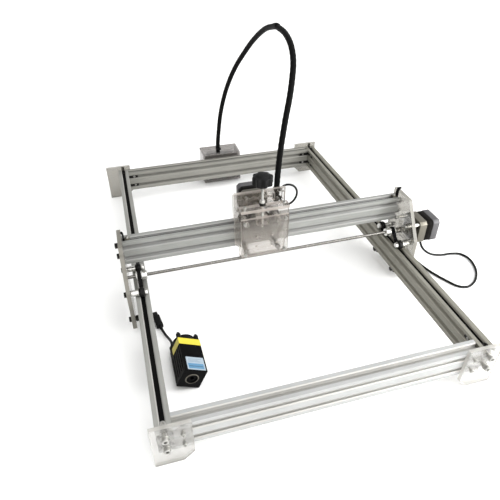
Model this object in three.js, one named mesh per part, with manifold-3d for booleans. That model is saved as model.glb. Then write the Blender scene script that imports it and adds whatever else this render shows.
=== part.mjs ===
// Desktop gantry laser engraver: extrusion frame, Y gantry, X carriage, hand-set Z plate and laser head.
// Millimetres. +X right, +Y away from the user, +Z up. Inside this file z = 0 is the top of the side rails.
import * as THREE from 'three';
import { mergeVertices } from 'three/addons/utils/BufferGeometryUtils.js';
import Module from 'manifold-3d';

const wasm = await Module();
wasm.setup();

// ---- driving dimensions ----
const FRAME_W = 450;            // over the outer faces of the two side rails
const FRAME_L = 650;            // length of the side rails
const RAIL_W = 20;              // extrusion width
const RAIL_H = 40;              // extrusion height
const GAP = 0.1;                // air between pieces that butt together
const SLOT_MOUTH = 4.6;         // half width of the V at the surface
const SLOT_NECK = 3.1;          // half width of the slot's neck
const SLOT_ROOM = 5.5;          // half width of the T room
const SLOT_DEPTH = 6.1;
const FOOT_T = 5;               // clear plates that close the rail ends and serve as feet
const FOOT_TOP = 8;
const FOOT_BOTTOM = -64;
const BELT_W = 6;
const BELT_T = 1.4;
const BELT_Z = -5.7;            // underside of a belt lying in a slot, below the slot's mouth
const WHEEL_R = 7.6;            // small V wheel
const WHEEL_AXIS = 5.3;         // wheel axis above the surface it runs on
const WHEEL_HALF = 4.4;
const PULLEY_AXIS = 13;         // belt pulley axis above the surface
const PULLEY_R = 6.1;
const BELT_R = 7.1;             // belt centre line over the pulley
const BEAM_Y = 281;             // front face of the gantry beam
const BEAM_Z = 26;              // underside of the gantry beam
const SIDE_IN = 6.2;            // gantry side plate, inner face to rail's outer face
const SIDE_T = 6;
const WHEEL_Y = [234, 294];     // gantry wheels, front and rear
const SHAFT_Y = 264;
const SHAFT_R = 2.5;
const MOTOR = 42.3;             // square of a size 17 stepper
const MOTOR_L = 38;
const CAR_X = 208.5;            // centre of the X carriage
const CAR_WHEEL = 26;           // carriage wheels to either side of it
const CAR_T = 5;
const CAR_FRONT_Y = 269.8;      // front face of the front carriage plate
const CAR_BACK_Y = 307.2;       // front face of the back carriage plate
const SCREW_X = 206.5;          // height screw
const SCREW_Y = 265;
const LIFT_Y = 255.5;           // front face of the height plate, which hangs in front of the cross shaft
const LASER = 33;               // square of the laser body
const LASER_L = 60;
const LASER_ROLL = 25.3;        // degrees the laser lies rolled over on its edge
const HARNESS_R = 4.5;
const MOTOR_CABLE_R = 2.1;
const THIN_CABLE_R = 1.6;

const BEAM_TOP = BEAM_Z + RAIL_H;
const BEAM_X0 = -SIDE_IN + GAP;
const BEAM_X1 = FRAME_W + SIDE_IN - GAP;

// ---- materials ----
function material(color, roughness, metalness, opacity = 1) {
  return new THREE.MeshStandardMaterial({ color, roughness, metalness, opacity, transparent: opacity < 1 });
}
const ALUMINIUM = () => material('#c6c5bf', 0.38, 0.9);
const ACRYLIC = () => material('#d8d2cc', 0.12, 0, 0.4);
const STEEL = () => material('#b9b9b6', 0.3, 1);
const BELT = () => material('#16161a', 0.8, 0);
const BLACK = () => material('#1d1d1f', 0.5, 0);
const ANODISED = () => material('#141416', 0.45, 0.7);
const MOTOR_GREY = () => material('#4c4b4b', 0.5, 0.6);
const CIRCUIT = () => material('#20242c', 0.6, 0.1);

// ---- helpers ----
function solid(geometry) {
  const g = geometry.clone();
  g.deleteAttribute('normal');
  g.deleteAttribute('uv');
  const m = mergeVertices(g, 1e-4);
  return new wasm.Manifold(new wasm.Mesh({
    numProp: 3,
    vertProperties: new Float32Array(m.attributes.position.array),
    triVerts: new Uint32Array(m.index.array),
  }));
}

function geometryOf(manifold) {
  const mesh = manifold.getMesh();
  const g = new THREE.BufferGeometry();
  g.setAttribute('position', new THREE.BufferAttribute(new Float32Array(mesh.vertProperties), 3));
  g.setIndex(new THREE.BufferAttribute(new Uint32Array(mesh.triVerts), 1));
  const flat = g.toNonIndexed();
  flat.computeVertexNormals();
  return flat;
}

function part(name, geometry, mat, parent) {
  const mesh = new THREE.Mesh(geometry, mat);
  mesh.name = name;
  parent.add(mesh);
  return mesh;
}

// box from x0..x1, y0..y1, z0..z1
function box(x0, x1, y0, y1, z0, z1) {
  const g = new THREE.BoxGeometry(x1 - x0, y1 - y0, z1 - z0);
  g.translate((x0 + x1) / 2, (y0 + y1) / 2, (z0 + z1) / 2);
  return g;
}

function polygon(points) {
  return new THREE.Shape(points.map(([a, b]) => new THREE.Vector2(a, b)));
}

function roundHole(shape, a, b, r, sides = 12) {
  const ring = [];
  for (let i = 0; i < sides; i++) {
    const t = -2 * Math.PI * (i + 0.5) / sides;
    ring.push(new THREE.Vector2(a + r * Math.cos(t), b + r * Math.sin(t)));
  }
  shape.holes.push(new THREE.Path(ring));
}

function slotHole(shape, a0, a1, b0, b1) {
  const ring = [[a0, b0], [a0, b1], [a1, b1], [a1, b0]];
  shape.holes.push(new THREE.Path(ring.map(([a, b]) => new THREE.Vector2(a, b))));
}

// A plate drawn in (x, z) and standing between two y values.
function plateXZ(shape, y0, y1) {
  const g = new THREE.ExtrudeGeometry(shape, { depth: y1 - y0, bevelEnabled: false });
  g.rotateX(Math.PI / 2);
  g.translate(0, y1, 0);
  return g;
}

// A plate drawn in (y, z) and standing between two x values.
function plateYZ(shape, x0, x1) {
  const g = new THREE.ExtrudeGeometry(shape, { depth: x1 - x0, bevelEnabled: false });
  g.applyMatrix4(new THREE.Matrix4().set(0, 0, 1, x0, 1, 0, 0, 0, 0, 1, 0, 0, 0, 0, 0, 1));
  return g;
}

// A turned piece: profile of [radius, axial] pairs, first made along +Y, then laid along the axis wanted.
function turned(profile, axis, x, y, z, sides = 20) {
  const g = new THREE.LatheGeometry(profile.map(([r, a]) => new THREE.Vector2(r, a)), sides);
  if (axis === 'x') g.rotateZ(-Math.PI / 2);
  if (axis === 'z') g.rotateX(Math.PI / 2);
  g.translate(x, y, z);
  return g;
}

function rod(r, a0, a1, axis, x, y, z, sides = 12) {
  return turned([[0, a0], [r, a0], [r, a1], [0, a1]], axis, x, y, z, sides);
}

function tube(points, radius, steps, sides) {
  const curve = new THREE.CatmullRomCurve3(points.map(([x, y, z]) => new THREE.Vector3(x, y, z)));
  const ring = [];
  for (let i = 0; i < sides; i++) {
    const t = 2 * Math.PI * i / sides;
    ring.push([radius * Math.cos(t), radius * Math.sin(t)]);
  }
  return new THREE.ExtrudeGeometry(polygon(ring), { steps, extrudePath: curve, bevelEnabled: false });
}

// ---- V-slot extrusion, 20 x 40, one slot on each short side and two on each long side ----
function extrusionShape() {
  const w = RAIL_W / 2;
  const h = RAIL_H / 2;
  const edges = [
    { from: [-w, -h], along: [1, 0], inward: [0, 1], slots: [w] },
    { from: [w, -h], along: [0, 1], inward: [-1, 0], slots: [h / 2, 3 * h / 2] },
    { from: [w, h], along: [-1, 0], inward: [0, -1], slots: [w] },
    { from: [-w, h], along: [0, -1], inward: [1, 0], slots: [h / 2, 3 * h / 2] },
  ];
  const half = [[-SLOT_MOUTH, 0], [-SLOT_NECK, 1.5], [-SLOT_NECK, 1.8], [-SLOT_ROOM, 1.8],
    [-SLOT_ROOM, 3.4], [-2.8, SLOT_DEPTH]];
  const slot = [...half, ...half.map(([s, d]) => [-s, d]).reverse()];
  const outline = [];
  for (const { from, along, inward, slots } of edges) {
    outline.push(from);
    for (const c of slots) {
      for (const [s, d] of slot) {
        outline.push([
          from[0] + along[0] * (c + s) + inward[0] * d,
          from[1] + along[1] * (c + s) + inward[1] * d,
        ]);
      }
    }
  }
  const shape = polygon(outline);
  roundHole(shape, 0, h / 2, 2.1, 10);
  roundHole(shape, 0, -h / 2, 2.1, 10);
  slotHole(shape, -5.6, 5.6, -2.6, 2.6);
  return shape;
}

// length along Y (rails) or along X (cross beams); z0 is the underside
function extrusionY(x0, y0, y1, z0) {
  const g = plateXZ(extrusionShape(), y0, y1);
  g.translate(x0 + RAIL_W / 2, 0, z0 + RAIL_H / 2);
  return g;
}

function extrusionX(x0, x1, y0, z0) {
  const g = plateYZ(extrusionShape(), x0, x1);
  g.translate(0, y0 + RAIL_W / 2, z0 + RAIL_H / 2);
  return g;
}

// ---- shared running gear ----
function wheel(axis, x, y, z) {
  const rim = 2.2;
  const side = WHEEL_R - (WHEEL_HALF - rim) / 0.9;
  const bore = 2.6;
  return turned([[bore, -WHEEL_HALF], [side, -WHEEL_HALF], [WHEEL_R, -rim], [WHEEL_R, rim],
    [side, WHEEL_HALF], [bore, WHEEL_HALF], [bore, -WHEEL_HALF]], axis, x, y, z);
}

// toothed pulley with its hub on the +axis side; the bore takes the 5 mm shaft
function pulleyProfile(bore) {
  return [[bore, -4.8], [8, -4.8], [8, -3.8], [PULLEY_R, -3.8], [PULLEY_R, 3.8], [8, 3.8], [8, 4.8],
    [6.5, 4.8], [6.5, 11.8], [bore, 11.8], [bore, -4.8]];
}

// A belt that dips under two wheels and climbs over the pulley between them, drawn in
// (run, height): run is measured from the pulley, height from the surface the wheels roll on.
function beltLoopShape(halfSpan) {
  const dip = WHEEL_R + 0.15 + BELT_T / 2;
  const rise = PULLEY_AXIS - WHEEL_AXIS;
  const tilt = Math.atan2(rise, halfSpan) + Math.asin((dip + BELT_R) / Math.hypot(halfSpan, rise));
  const under = [];
  const over = [];
  const arcs = 4;
  for (let i = 0; i <= arcs; i++) {
    const t = tilt * i / arcs;
    under.push([Math.sin(t), -Math.cos(t)]);
    over.push([Math.sin(t - tilt), Math.cos(t - tilt)]);
  }
  const inner = [];
  const outer = [];
  for (const [s, c] of under) {
    inner.push([-halfSpan + s * (dip - BELT_T / 2), WHEEL_AXIS + c * (dip - BELT_T / 2)]);
    outer.push([-halfSpan + s * (dip + BELT_T / 2), WHEEL_AXIS + c * (dip + BELT_T / 2)]);
  }
  for (const [s, c] of over) {
    inner.push([s * (BELT_R + BELT_T / 2), PULLEY_AXIS + c * (BELT_R + BELT_T / 2)]);
    outer.push([s * (BELT_R - BELT_T / 2), PULLEY_AXIS + c * (BELT_R - BELT_T / 2)]);
  }
  const mirror = (side) => side.slice(0, -1).reverse().map(([a, b]) => [-a, b]);
  const upper = [...inner, ...mirror(inner)];
  const lower = [...outer, ...mirror(outer)];
  return polygon([...upper, ...lower.reverse()]);
}

function motorSquare(half) {
  const c = 4.2;
  return [[-half + c, -half], [half - c, -half], [half, -half + c], [half, half - c],
    [half - c, half], [-half + c, half], [-half, half - c], [-half, -half + c]];
}

// ---- frame ----
function buildFrame(root) {
  part('left_rail', extrusionY(0, 0, FRAME_L, -RAIL_H), ALUMINIUM(), root);
  part('right_rail', extrusionY(FRAME_W - RAIL_W, 0, FRAME_L, -RAIL_H), ALUMINIUM(), root);
  const x0 = RAIL_W + GAP;
  const x1 = FRAME_W - RAIL_W - GAP;
  part('front_beam', extrusionX(x0, x1, 0, -RAIL_H), ALUMINIUM(), root);
  part('rear_beam', extrusionX(x0, x1, FRAME_L - RAIL_W, -RAIL_H), ALUMINIUM(), root);

  // the four end plates: two screws go into the rail end, two more into the cross beam's slots
  const cut = 14;
  const feet = [
    ['foot_plate_front_left', -7, 42, 10, -FOOT_T - GAP, 1],
    ['foot_plate_front_right', 406, 456, 440, -FOOT_T - GAP, -1],
    ['foot_plate_rear_left', -25, 25, 10, FRAME_L + GAP, 1],
    ['foot_plate_rear_right', 405, 455, 440, FRAME_L + GAP, -1],
  ];
  for (const [name, a, b, screwX, y, side] of feet) {
    const low = FOOT_BOTTOM;
    const shape = polygon(side > 0
      ? [[a, low], [b - cut, low], [b, low + cut], [b, FOOT_TOP], [a, FOOT_TOP]]
      : [[a + cut, low], [b, low], [b, FOOT_TOP], [a, FOOT_TOP], [a, low + cut]]);
    roundHole(shape, screwX, -10, 2.8);
    roundHole(shape, screwX, -30, 2.8);
    part(name, plateXZ(shape, y, y + FOOT_T), ACRYLIC(), root);
  }

  for (const [name, x] of [['belt_run_left', 10], ['belt_run_right', 440]]) {
    const half = BELT_W / 2;
    part(name, box(x - half, x + half, 4, FRAME_L - 4, BELT_Z, BELT_Z + BELT_T), BELT(), root);
  }
}

// ---- controller in its smoked case behind the rear beam ----
const CASE = { x0: 187, x1: 272, y0: 650.2, y1: 695, z0: -60, z1: 9, wall: 3 };

function buildController(root) {
  const { x0, x1, y0, y1, z0, z1, wall } = CASE;
  const shell = solid(box(x0, x1, y0, y1, z0, z1))
    .subtract(solid(box(x0 + wall, x1 - wall, y0 + wall, y1 + 1, z0 + wall, z1 - wall)));
  part('controller_case', geometryOf(shell), material('#6d625e', 0.2, 0, 0.6), root);
  const board = solid(box(x0 + wall + 2, x1 - wall - 2, y0 + 12, y0 + 13.6, z0 + wall + GAP, z1 - wall - 4))
    .add(solid(box(x0 + 14, x0 + 34, y0 + 13, y0 + 30, -42, -14)))
    .add(solid(box(x0 + 42, x0 + 62, y0 + 13, y0 + 30, -42, -14)))
    .add(solid(box(x0 + 12, x0 + 70, y0 + 13, y0 + 24, -5, 1)));
  part('controller_board', geometryOf(board), CIRCUIT(), root);
}

// ---- gantry ----
function sidePlateShape() {
  const shape = polygon([[218, -50], [224, -57], [297, -57], [303, -50], [303, 76], [256, 76], [218, 16]]);
  for (const y of WHEEL_Y) {
    roundHole(shape, y, WHEEL_AXIS, 2.7);
    roundHole(shape, y, -RAIL_H - WHEEL_AXIS, 2.7);
  }
  roundHole(shape, BEAM_Y + 10, BEAM_Z + 10, 2.8);
  roundHole(shape, BEAM_Y + 10, BEAM_Z + 30, 2.8);
  return shape;
}

function buildGantry(gantry) {
  part('gantry_beam', extrusionX(BEAM_X0, BEAM_X1, BEAM_Y, BEAM_Z), ALUMINIUM(), gantry);
  const left = sidePlateShape();
  roundHole(left, SHAFT_Y, PULLEY_AXIS, 2.9);
  part('gantry_plate_left', plateYZ(left, -SIDE_IN - SIDE_T, -SIDE_IN), ACRYLIC(), gantry);
  const right = sidePlateShape();
  roundHole(right, SHAFT_Y, PULLEY_AXIS, 5.4, 16);
  const rightIn = FRAME_W + SIDE_IN;
  part('gantry_plate_right', plateYZ(right, rightIn, rightIn + SIDE_T), ACRYLIC(), gantry);

  for (const [name, x] of [['belt_loop_left', 10], ['belt_loop_right', 440]]) {
    const g = plateYZ(beltLoopShape((WHEEL_Y[1] - WHEEL_Y[0]) / 2), x - BELT_W / 2, x + BELT_W / 2);
    g.translate(0, SHAFT_Y, 0);
    part(name, g, BELT(), gantry);
  }
  const beltY = BEAM_Y + RAIL_W / 2;
  const z = BEAM_TOP + BELT_Z;
  part('belt_run_gantry',
    box(BEAM_X0 + 3, BEAM_X1 - 3, beltY - BELT_W / 2, beltY + BELT_W / 2, z, z + BELT_T), BELT(), gantry);

  buildYMotor(gantry, rightIn + SIDE_T);
}

// The motor stands off the side plate on four posts; its shaft is coupled to the cross shaft.
function buildYMotor(gantry, plateX) {
  const front = 480;
  let body = solid(plateYZ(polygon(motorSquare(MOTOR / 2)), front, front + MOTOR_L));
  body = body.add(solid(rod(11, front - 2, front + 1, 'x', 0, 0, 0, 20)));
  for (const y of [-15.5, 15.5]) {
    for (const z of [-15.5, 15.5]) {
      body = body.add(solid(rod(3, plateX + GAP, front + 1, 'x', 0, y, z, 8)));
    }
  }
  const g = geometryOf(body);
  g.translate(0, SHAFT_Y, PULLEY_AXIS);
  part('y_motor', g, MOTOR_GREY(), gantry);
}

// one bolt with its spacer per gantry wheel; the upper ones end in a lock nut
function axleProfile() {
  return [[0, -16.4], [4.2, -16.4], [4.2, -12.4], [2.4, -12.4], [2.4, -6], [4, -6], [4, 5.4],
    [2.3, 5.4], [2.3, 14.6], [3.9, 14.6], [3.9, 18], [0, 18]];
}

function buildGantryWheels(gantry) {
  const heights = [['upper', WHEEL_AXIS], ['lower', -RAIL_H - WHEEL_AXIS]];
  for (const side of ['left', 'right']) {
    for (const [i, place] of ['front', 'rear'].entries()) {
      for (const [level, z] of heights) {
        const tag = `${side}_${place}_${level}`;
        const axle = turned(axleProfile(), 'x', 0, 0, 0, 10);
        if (side === 'right') {
          axle.rotateY(Math.PI);
          axle.translate(FRAME_W, 0, 0);
        }
        axle.translate(0, WHEEL_Y[i], z);
        part(`axle_${tag}`, axle, STEEL(), gantry);
        const x = side === 'left' ? RAIL_W / 2 : FRAME_W - RAIL_W / 2;
        part(`wheel_${tag}`, wheel('x', x, WHEEL_Y[i], z), BLACK(), gantry);
      }
    }
  }
}

function buildDriveShaft(gantry) {
  const shaft = turned([[0, -11], [SHAFT_R, -11], [SHAFT_R, 449], [4.6, 449], [4.6, 474], [SHAFT_R, 474],
    [SHAFT_R, 477.7], [0, 477.7]], 'x', 0, SHAFT_Y, PULLEY_AXIS, 16);
  part('drive_shaft', shaft, STEEL(), gantry);
  part('pulley_left', turned(pulleyProfile(2.7), 'x', 10, SHAFT_Y, PULLEY_AXIS), STEEL(), gantry);
  const right = turned(pulleyProfile(2.7), 'x', 0, 0, 0);
  right.rotateY(Math.PI);
  right.translate(440, SHAFT_Y, PULLEY_AXIS);
  part('pulley_right', right, STEEL(), gantry);
}

// ---- carriage ----
function carriageHoles(shape) {
  for (const dx of [-CAR_WHEEL, CAR_WHEEL]) {
    roundHole(shape, CAR_X + dx, BEAM_TOP + WHEEL_AXIS, 2.7, 10);
    roundHole(shape, CAR_X + dx, BEAM_Z - WHEEL_AXIS, 2.7, 10);
  }
}

function buildCarriage(carriage) {
  const front = polygon([[171, 10], [247, 10], [247, 30], [251.5, 35], [251.5, 97], [244.5, 102],
    [244.5, 127], [164.5, 127], [164.5, 35], [171, 30]]);
  carriageHoles(front);
  let plate = solid(plateXZ(front, CAR_FRONT_Y, CAR_FRONT_Y + CAR_T));
  for (const x of [225, 240]) {
    plate = plate.subtract(solid(box(x, x + 3, CAR_FRONT_Y - 1, CAR_FRONT_Y + CAR_T + 1, 108, 120)));
  }
  part('carriage_plate_front', geometryOf(plate), ACRYLIC(), carriage);

  const back = polygon([[171, 10], [246, 10], [246, 102], [171, 102]]);
  carriageHoles(back);
  roundHole(back, CAR_X, BEAM_TOP + PULLEY_AXIS, 11.4, 20);
  part('carriage_plate_back', plateXZ(back, CAR_BACK_Y, CAR_BACK_Y + CAR_T), ACRYLIC(), carriage);

  const shelf = solid(box(171, 247, LIFT_Y - 1, CAR_FRONT_Y - GAP, 100, 105))
    .subtract(solid(rod(3, 99, 106, 'z', SCREW_X, SCREW_Y, 0)));
  part('screw_shelf', geometryOf(shelf), ACRYLIC(), carriage);

  const motorY = CAR_BACK_Y + CAR_T + GAP;
  const motor = solid(plateXZ(polygon(motorSquare(MOTOR / 2)), motorY, motorY + MOTOR_L))
    .add(solid(rod(11, motorY - 2, motorY + 1, 'y', 0, 0, 0, 20)));
  const g = geometryOf(motor);
  g.translate(CAR_X, 0, BEAM_TOP + PULLEY_AXIS);
  part('x_motor', g, MOTOR_GREY(), carriage);

  const beltY = BEAM_Y + RAIL_W / 2;
  const loop = plateXZ(beltLoopShape(CAR_WHEEL), beltY - BELT_W / 2, beltY + BELT_W / 2);
  loop.translate(CAR_X, 0, BEAM_TOP);
  part('belt_loop_carriage', loop, BELT(), carriage);

  for (const [side, dx] of [['left', -CAR_WHEEL], ['right', CAR_WHEEL]]) {
    for (const [level, z] of [['upper', BEAM_TOP + WHEEL_AXIS], ['lower', BEAM_Z - WHEEL_AXIS]]) {
      part(`carriage_wheel_${side}_${level}`, wheel('y', CAR_X + dx, beltY, z), BLACK(), carriage);
    }
  }

  // the pulley on the motor's own shaft, hub towards the front plate
  const shaftEnd = motorY - 2.3;
  const profile = [[0, -11.8], [6.5, -11.8], [6.5, -4.8], [8, -4.8], [8, -3.8], [PULLEY_R, -3.8],
    [PULLEY_R, 3.8], [8, 3.8], [8, 4.8], [SHAFT_R, 4.8], [SHAFT_R, shaftEnd - beltY], [0, shaftEnd - beltY]];
  part('x_pulley', turned(profile, 'y', CAR_X, beltY, BEAM_TOP + PULLEY_AXIS), STEEL(), carriage);
}

// ---- hand-set height plate ----
function buildHeight(lift, knobGroup) {
  const shape = polygon([[171, 18], [247, 18], [247, 88], [171, 88]]);
  for (const [a, b] of [[196, 34], [221, 34], [196, 54], [221, 54]]) roundHole(shape, a, b, 1.7, 8);
  const plate = solid(plateXZ(shape, LIFT_Y, LIFT_Y + 4.5))
    .add(solid(box(SCREW_X - 9, SCREW_X + 9, LIFT_Y + 4, CAR_FRONT_Y - 0.5, 72, 84)))
    .subtract(solid(rod(2.5, 71, 85, 'z', SCREW_X, SCREW_Y, 0)));
  part('laser_mount_plate', geometryOf(plate), ACRYLIC(), lift);

  const lobes = 8;
  const ring = [];
  for (let i = 0; i < lobes * 4; i++) {
    const t = 2 * Math.PI * i / (lobes * 4);
    const r = 14.8 + 1.2 * Math.cos(lobes * t);
    ring.push([r * Math.cos(t), r * Math.sin(t)]);
  }
  const grip = new THREE.ExtrudeGeometry(polygon(ring), { depth: 14, bevelEnabled: false });
  grip.translate(0, 0, 141);
  const knob = solid(grip)
    .add(solid(rod(8, 137, 142, 'z', 0, 0, 0, 16)))
    .add(solid(turned([[0, 154], [11, 154], [8, 157.5], [0, 157.5]], 'z', 0, 0, 0, 16)))
    .add(solid(rod(2, 66, 138, 'z', 0, 0, 0, 10)));
  const g = geometryOf(knob);
  g.translate(SCREW_X, SCREW_Y, 0);
  part('height_knob', g, BLACK(), knobGroup);
}

// ---- laser head, resting unmounted inside the frame ----
// Local frame: x across, y along the beam from the lens end, z up; origin at the lower left front edge.
function buildLaser(head) {
  head.position.set(34.7, 93.2, -63.7 + LASER * Math.sin(THREE.MathUtils.degToRad(LASER_ROLL)));
  head.rotation.y = THREE.MathUtils.degToRad(LASER_ROLL);
  const mid = LASER / 2;

  let body = solid(box(0, LASER, 0, LASER_L, 0, LASER));
  for (const z of [5, 11, 17, 23, 29]) {
    body = body.subtract(solid(box(-1, 2.4, 6, LASER_L - 13, z - 1.1, z + 1.1)));
    body = body.subtract(solid(box(LASER - 2.4, LASER + 1, 6, LASER_L - 13, z - 1.1, z + 1.1)));
  }
  body = body.subtract(solid(rod(8, -1, 9, 'y', mid, 0, mid, 24)));
  part('laser_body', geometryOf(body), ANODISED(), head);
  part('laser_lens_ring', turned([[3, 1.2], [7.6, 1.2], [7.6, 8.7], [3, 8.7], [3, 1.2]], 'y', mid, 0, mid, 24),
    ANODISED(), head);

  const fanY = LASER_L + GAP;
  const frame = solid(box(1, LASER - 1, fanY, fanY + 9, 1, LASER - 1))
    .subtract(solid(rod(14, fanY - 1, fanY + 7.6, 'y', mid, 0, mid, 24)))
    .subtract(solid(box(-1, mid, fanY + 7, fanY + 10, mid - 1, mid + 1)).subtract(
      solid(rod(8, fanY, fanY + 11, 'y', mid, 0, mid, 16))))
    .subtract(solid(rod(13, fanY + 7, fanY + 10, 'y', mid, 0, mid, 24)).subtract(
      solid(box(-1, LASER + 1, fanY + 6, fanY + 11, mid - 2, mid + 2))));
  part('laser_fan_frame', geometryOf(frame), BLACK(), head);

  let rotor = solid(rod(6, fanY + 1, fanY + 6.8, 'y', mid, 0, mid, 16));
  for (let i = 0; i < 7; i++) {
    const blade = box(-0.6, 0.6, -2.6, 2.6, 4, 12.8);
    blade.rotateZ(0.5);
    blade.rotateY(2 * Math.PI * i / 7);
    blade.translate(mid, fanY + 3.9, mid);
    rotor = rotor.add(solid(blade));
  }
  part('laser_fan_rotor', geometryOf(rotor), BLACK(), head);
}

function buildPlug(group) {
  const g = new THREE.ExtrudeGeometry(
    polygon([[-5, 0], [5, 0], [5.6, 3], [5.6, 24], [3.4, 27], [3.4, 33], [-3.4, 33], [-3.4, 27], [-5.6, 24], [-5.6, 3]]),
    { depth: 7, bevelEnabled: false });
  g.rotateZ(PLUG.turn);
  g.translate(PLUG.x, PLUG.y, FOOT_BOTTOM + 0.3);
  part('laser_plug', g, BLACK(), group);
}

// ---- cables ----
const PLUG = { x: 28, y: 221, turn: 0.15 };

// rear half of the harness: controller lid to the top of its arch
const HARNESS_REAR = [[223.5, 660, 9.4], [223.7, 659.5, 31], [226, 656.5, 59], [230.3, 650, 100],
  [237.5, 638, 142.7], [245, 622, 177.7], [254, 600, 212], [263, 573, 242], [272, 537, 274],
  [278.5, 490, 301], [281, 445, 314]];
// front half: top of the arch down to the clip behind the carriage's front plate
const HARNESS_FRONT = [[281, 441.5, 314.8], [280.5, 398, 313.5], [277.5, 362, 304.5], [272.5, 337, 289],
  [265, 319, 269], [258, 307, 249], [250.5, 298.5, 224], [243.5, 291.5, 193], [239, 287.5, 165],
  [236.5, 285.5, 140], [235.5, 285, 119], [235.2, 285, 97]];
const Y_MOTOR_CABLE = [[504, 264, -8.6], [504, 264, -20], [507, 257, -32], [521, 251, -43.5],
  [547, 252, -53], [573, 257, -59], [592, 254, -61.6], [599, 240, -61.8], [595, 216, -61.8],
  [584, 195, -61.8], [566, 177.5, -61.8], [548, 170.5, -61.8], [534, 176, -61.8], [522, 196, -61.8],
  [511.5, 219.5, -61.8], [504.5, 243, -61.8], [500, 272, -61.8], [497, 320, -61.8], [492, 400, -61.8],
  [486, 480, -61.8], [480, 560, -61.8], [473, 630, -61.8], [460, 672, -61.8], [430, 692, -61.8],
  [385, 696, -61.8], [340, 690, -60], [305, 682, -52], [286, 678, -44], [272.5, 678, -42]];
const X_MOTOR_CABLE = [[238.5, 279.5, 118], [241.5, 279, 122.5], [247.5, 278.5, 126], [255, 278, 125.5],
  [262, 278, 121], [266, 278, 113.5], [266, 278, 105], [262, 278, 97], [256, 279.5, 91], [251.5, 284, 88],
  [249.5, 291, 86.5], [249.5, 301, 85], [249.5, 312, 83], [247.5, 322, 80.5], [240.5, 329, 79],
  [230.2, 331, 79]];
const LASER_LEAD = [[40.5, 163.5, -46], [39.8, 171, -47.5], [38.4, 181, -52], [36.2, 191.5, -57],
  [33.4, 201.5, -60], [30.7, 211, -60.4], [28.1, 220.6, -60.4]];

function buildCables(root, gantry, carriage, laser) {
  part('harness_rear', tube(HARNESS_REAR, HARNESS_R, 34, 10), BLACK(), root);
  part('harness_front', tube(HARNESS_FRONT, HARNESS_R, 30, 10), BLACK(), gantry);
  part('y_motor_cable', tube(Y_MOTOR_CABLE, MOTOR_CABLE_R, 80, 8), BLACK(), gantry);
  part('x_motor_cable', tube(X_MOTOR_CABLE, THIN_CABLE_R, 30, 8), BLACK(), carriage);
  part('laser_lead', tube(LASER_LEAD, MOTOR_CABLE_R, 16, 8), BLACK(), laser);
}

// ---- assembly ----
const engraver = new THREE.Group();
engraver.name = 'laser_engraver';
const bodies = {};
for (const name of ['root', 'gantry', 'carriage', 'lift', 'knob', 'laser', 'laserHead']) {
  bodies[name] = new THREE.Group();
}
buildFrame(bodies.root);
buildController(bodies.root);
buildGantry(bodies.gantry);
buildGantryWheels(bodies.gantry);
buildDriveShaft(bodies.gantry);
buildCarriage(bodies.carriage);
buildHeight(bodies.lift, bodies.knob);
buildLaser(bodies.laserHead);
buildPlug(bodies.laser);
buildCables(bodies.root, bodies.gantry, bodies.carriage, bodies.laser);
bodies.lift.add(bodies.knob);
bodies.carriage.add(bodies.lift);
bodies.gantry.add(bodies.carriage);
bodies.laser.add(bodies.laserHead);
engraver.add(bodies.root, bodies.gantry, bodies.laser);

// Part frame: the origin is the middle of the footprint, on the surface the feet stand on.
const extent = { x0: -25, x1: 514, y0: -FOOT_T - GAP, y1: CASE.y1 };
engraver.position.set(-(extent.x0 + extent.x1) / 2, -(extent.y0 + extent.y1) / 2, -FOOT_BOTTOM);

export default engraver;
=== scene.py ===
import math

import bmesh
import bpy
from mathutils import Euler, Matrix, Quaternion, Vector


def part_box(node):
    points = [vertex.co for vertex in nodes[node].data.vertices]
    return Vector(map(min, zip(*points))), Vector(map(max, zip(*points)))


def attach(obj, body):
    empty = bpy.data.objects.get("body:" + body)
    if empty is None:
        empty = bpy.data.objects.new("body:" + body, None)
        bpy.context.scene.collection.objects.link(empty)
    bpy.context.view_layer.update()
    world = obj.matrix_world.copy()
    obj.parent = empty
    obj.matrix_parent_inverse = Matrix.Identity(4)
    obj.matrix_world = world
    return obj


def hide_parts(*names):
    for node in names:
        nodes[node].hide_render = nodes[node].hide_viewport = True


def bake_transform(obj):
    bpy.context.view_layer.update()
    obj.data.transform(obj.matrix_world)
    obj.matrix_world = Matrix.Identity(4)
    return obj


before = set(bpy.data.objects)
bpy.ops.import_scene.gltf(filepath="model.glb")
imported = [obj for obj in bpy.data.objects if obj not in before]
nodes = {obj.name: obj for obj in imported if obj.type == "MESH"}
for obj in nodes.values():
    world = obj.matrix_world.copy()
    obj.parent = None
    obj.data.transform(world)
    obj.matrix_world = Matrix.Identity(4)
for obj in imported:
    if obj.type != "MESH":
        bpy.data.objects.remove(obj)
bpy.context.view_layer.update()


# ---- Camera, floor and light ----
# The machine stands on a plain pale sheet of matt paper, in a white room whose daylight comes
# softly from the right front and falls off towards the left rear. A soft box hangs over it, and two
# soft lamps stand low at the right front, where the windows are.

def at(x, y, z):
    """A point counted in mm from the outer front top corner of the left rail, in the part's frame."""
    return Vector(((x - 244.5) / 1000, (y - 344.95) / 1000, (z + 64) / 1000))


def linear(hex_colour):
    """An sRGB hex colour as linear RGBA."""
    channels = [int(hex_colour[i:i + 2], 16) / 255 for i in (1, 3, 5)]
    return tuple(c / 12.92 if c <= 0.04045 else ((c + 0.055) / 1.055) ** 2.4 for c in channels) + (1.0,)


def start_material(name, **shader_values):
    """A new material and its shader, with the constants set on the shader's own sockets."""
    material = bpy.data.materials.new(name)
    material.use_nodes = True
    shader = material.node_tree.nodes["Principled BSDF"]
    for socket, value in shader_values.items():
        shader.inputs[socket.replace("_", " ")].default_value = value
    return material, shader


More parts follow.
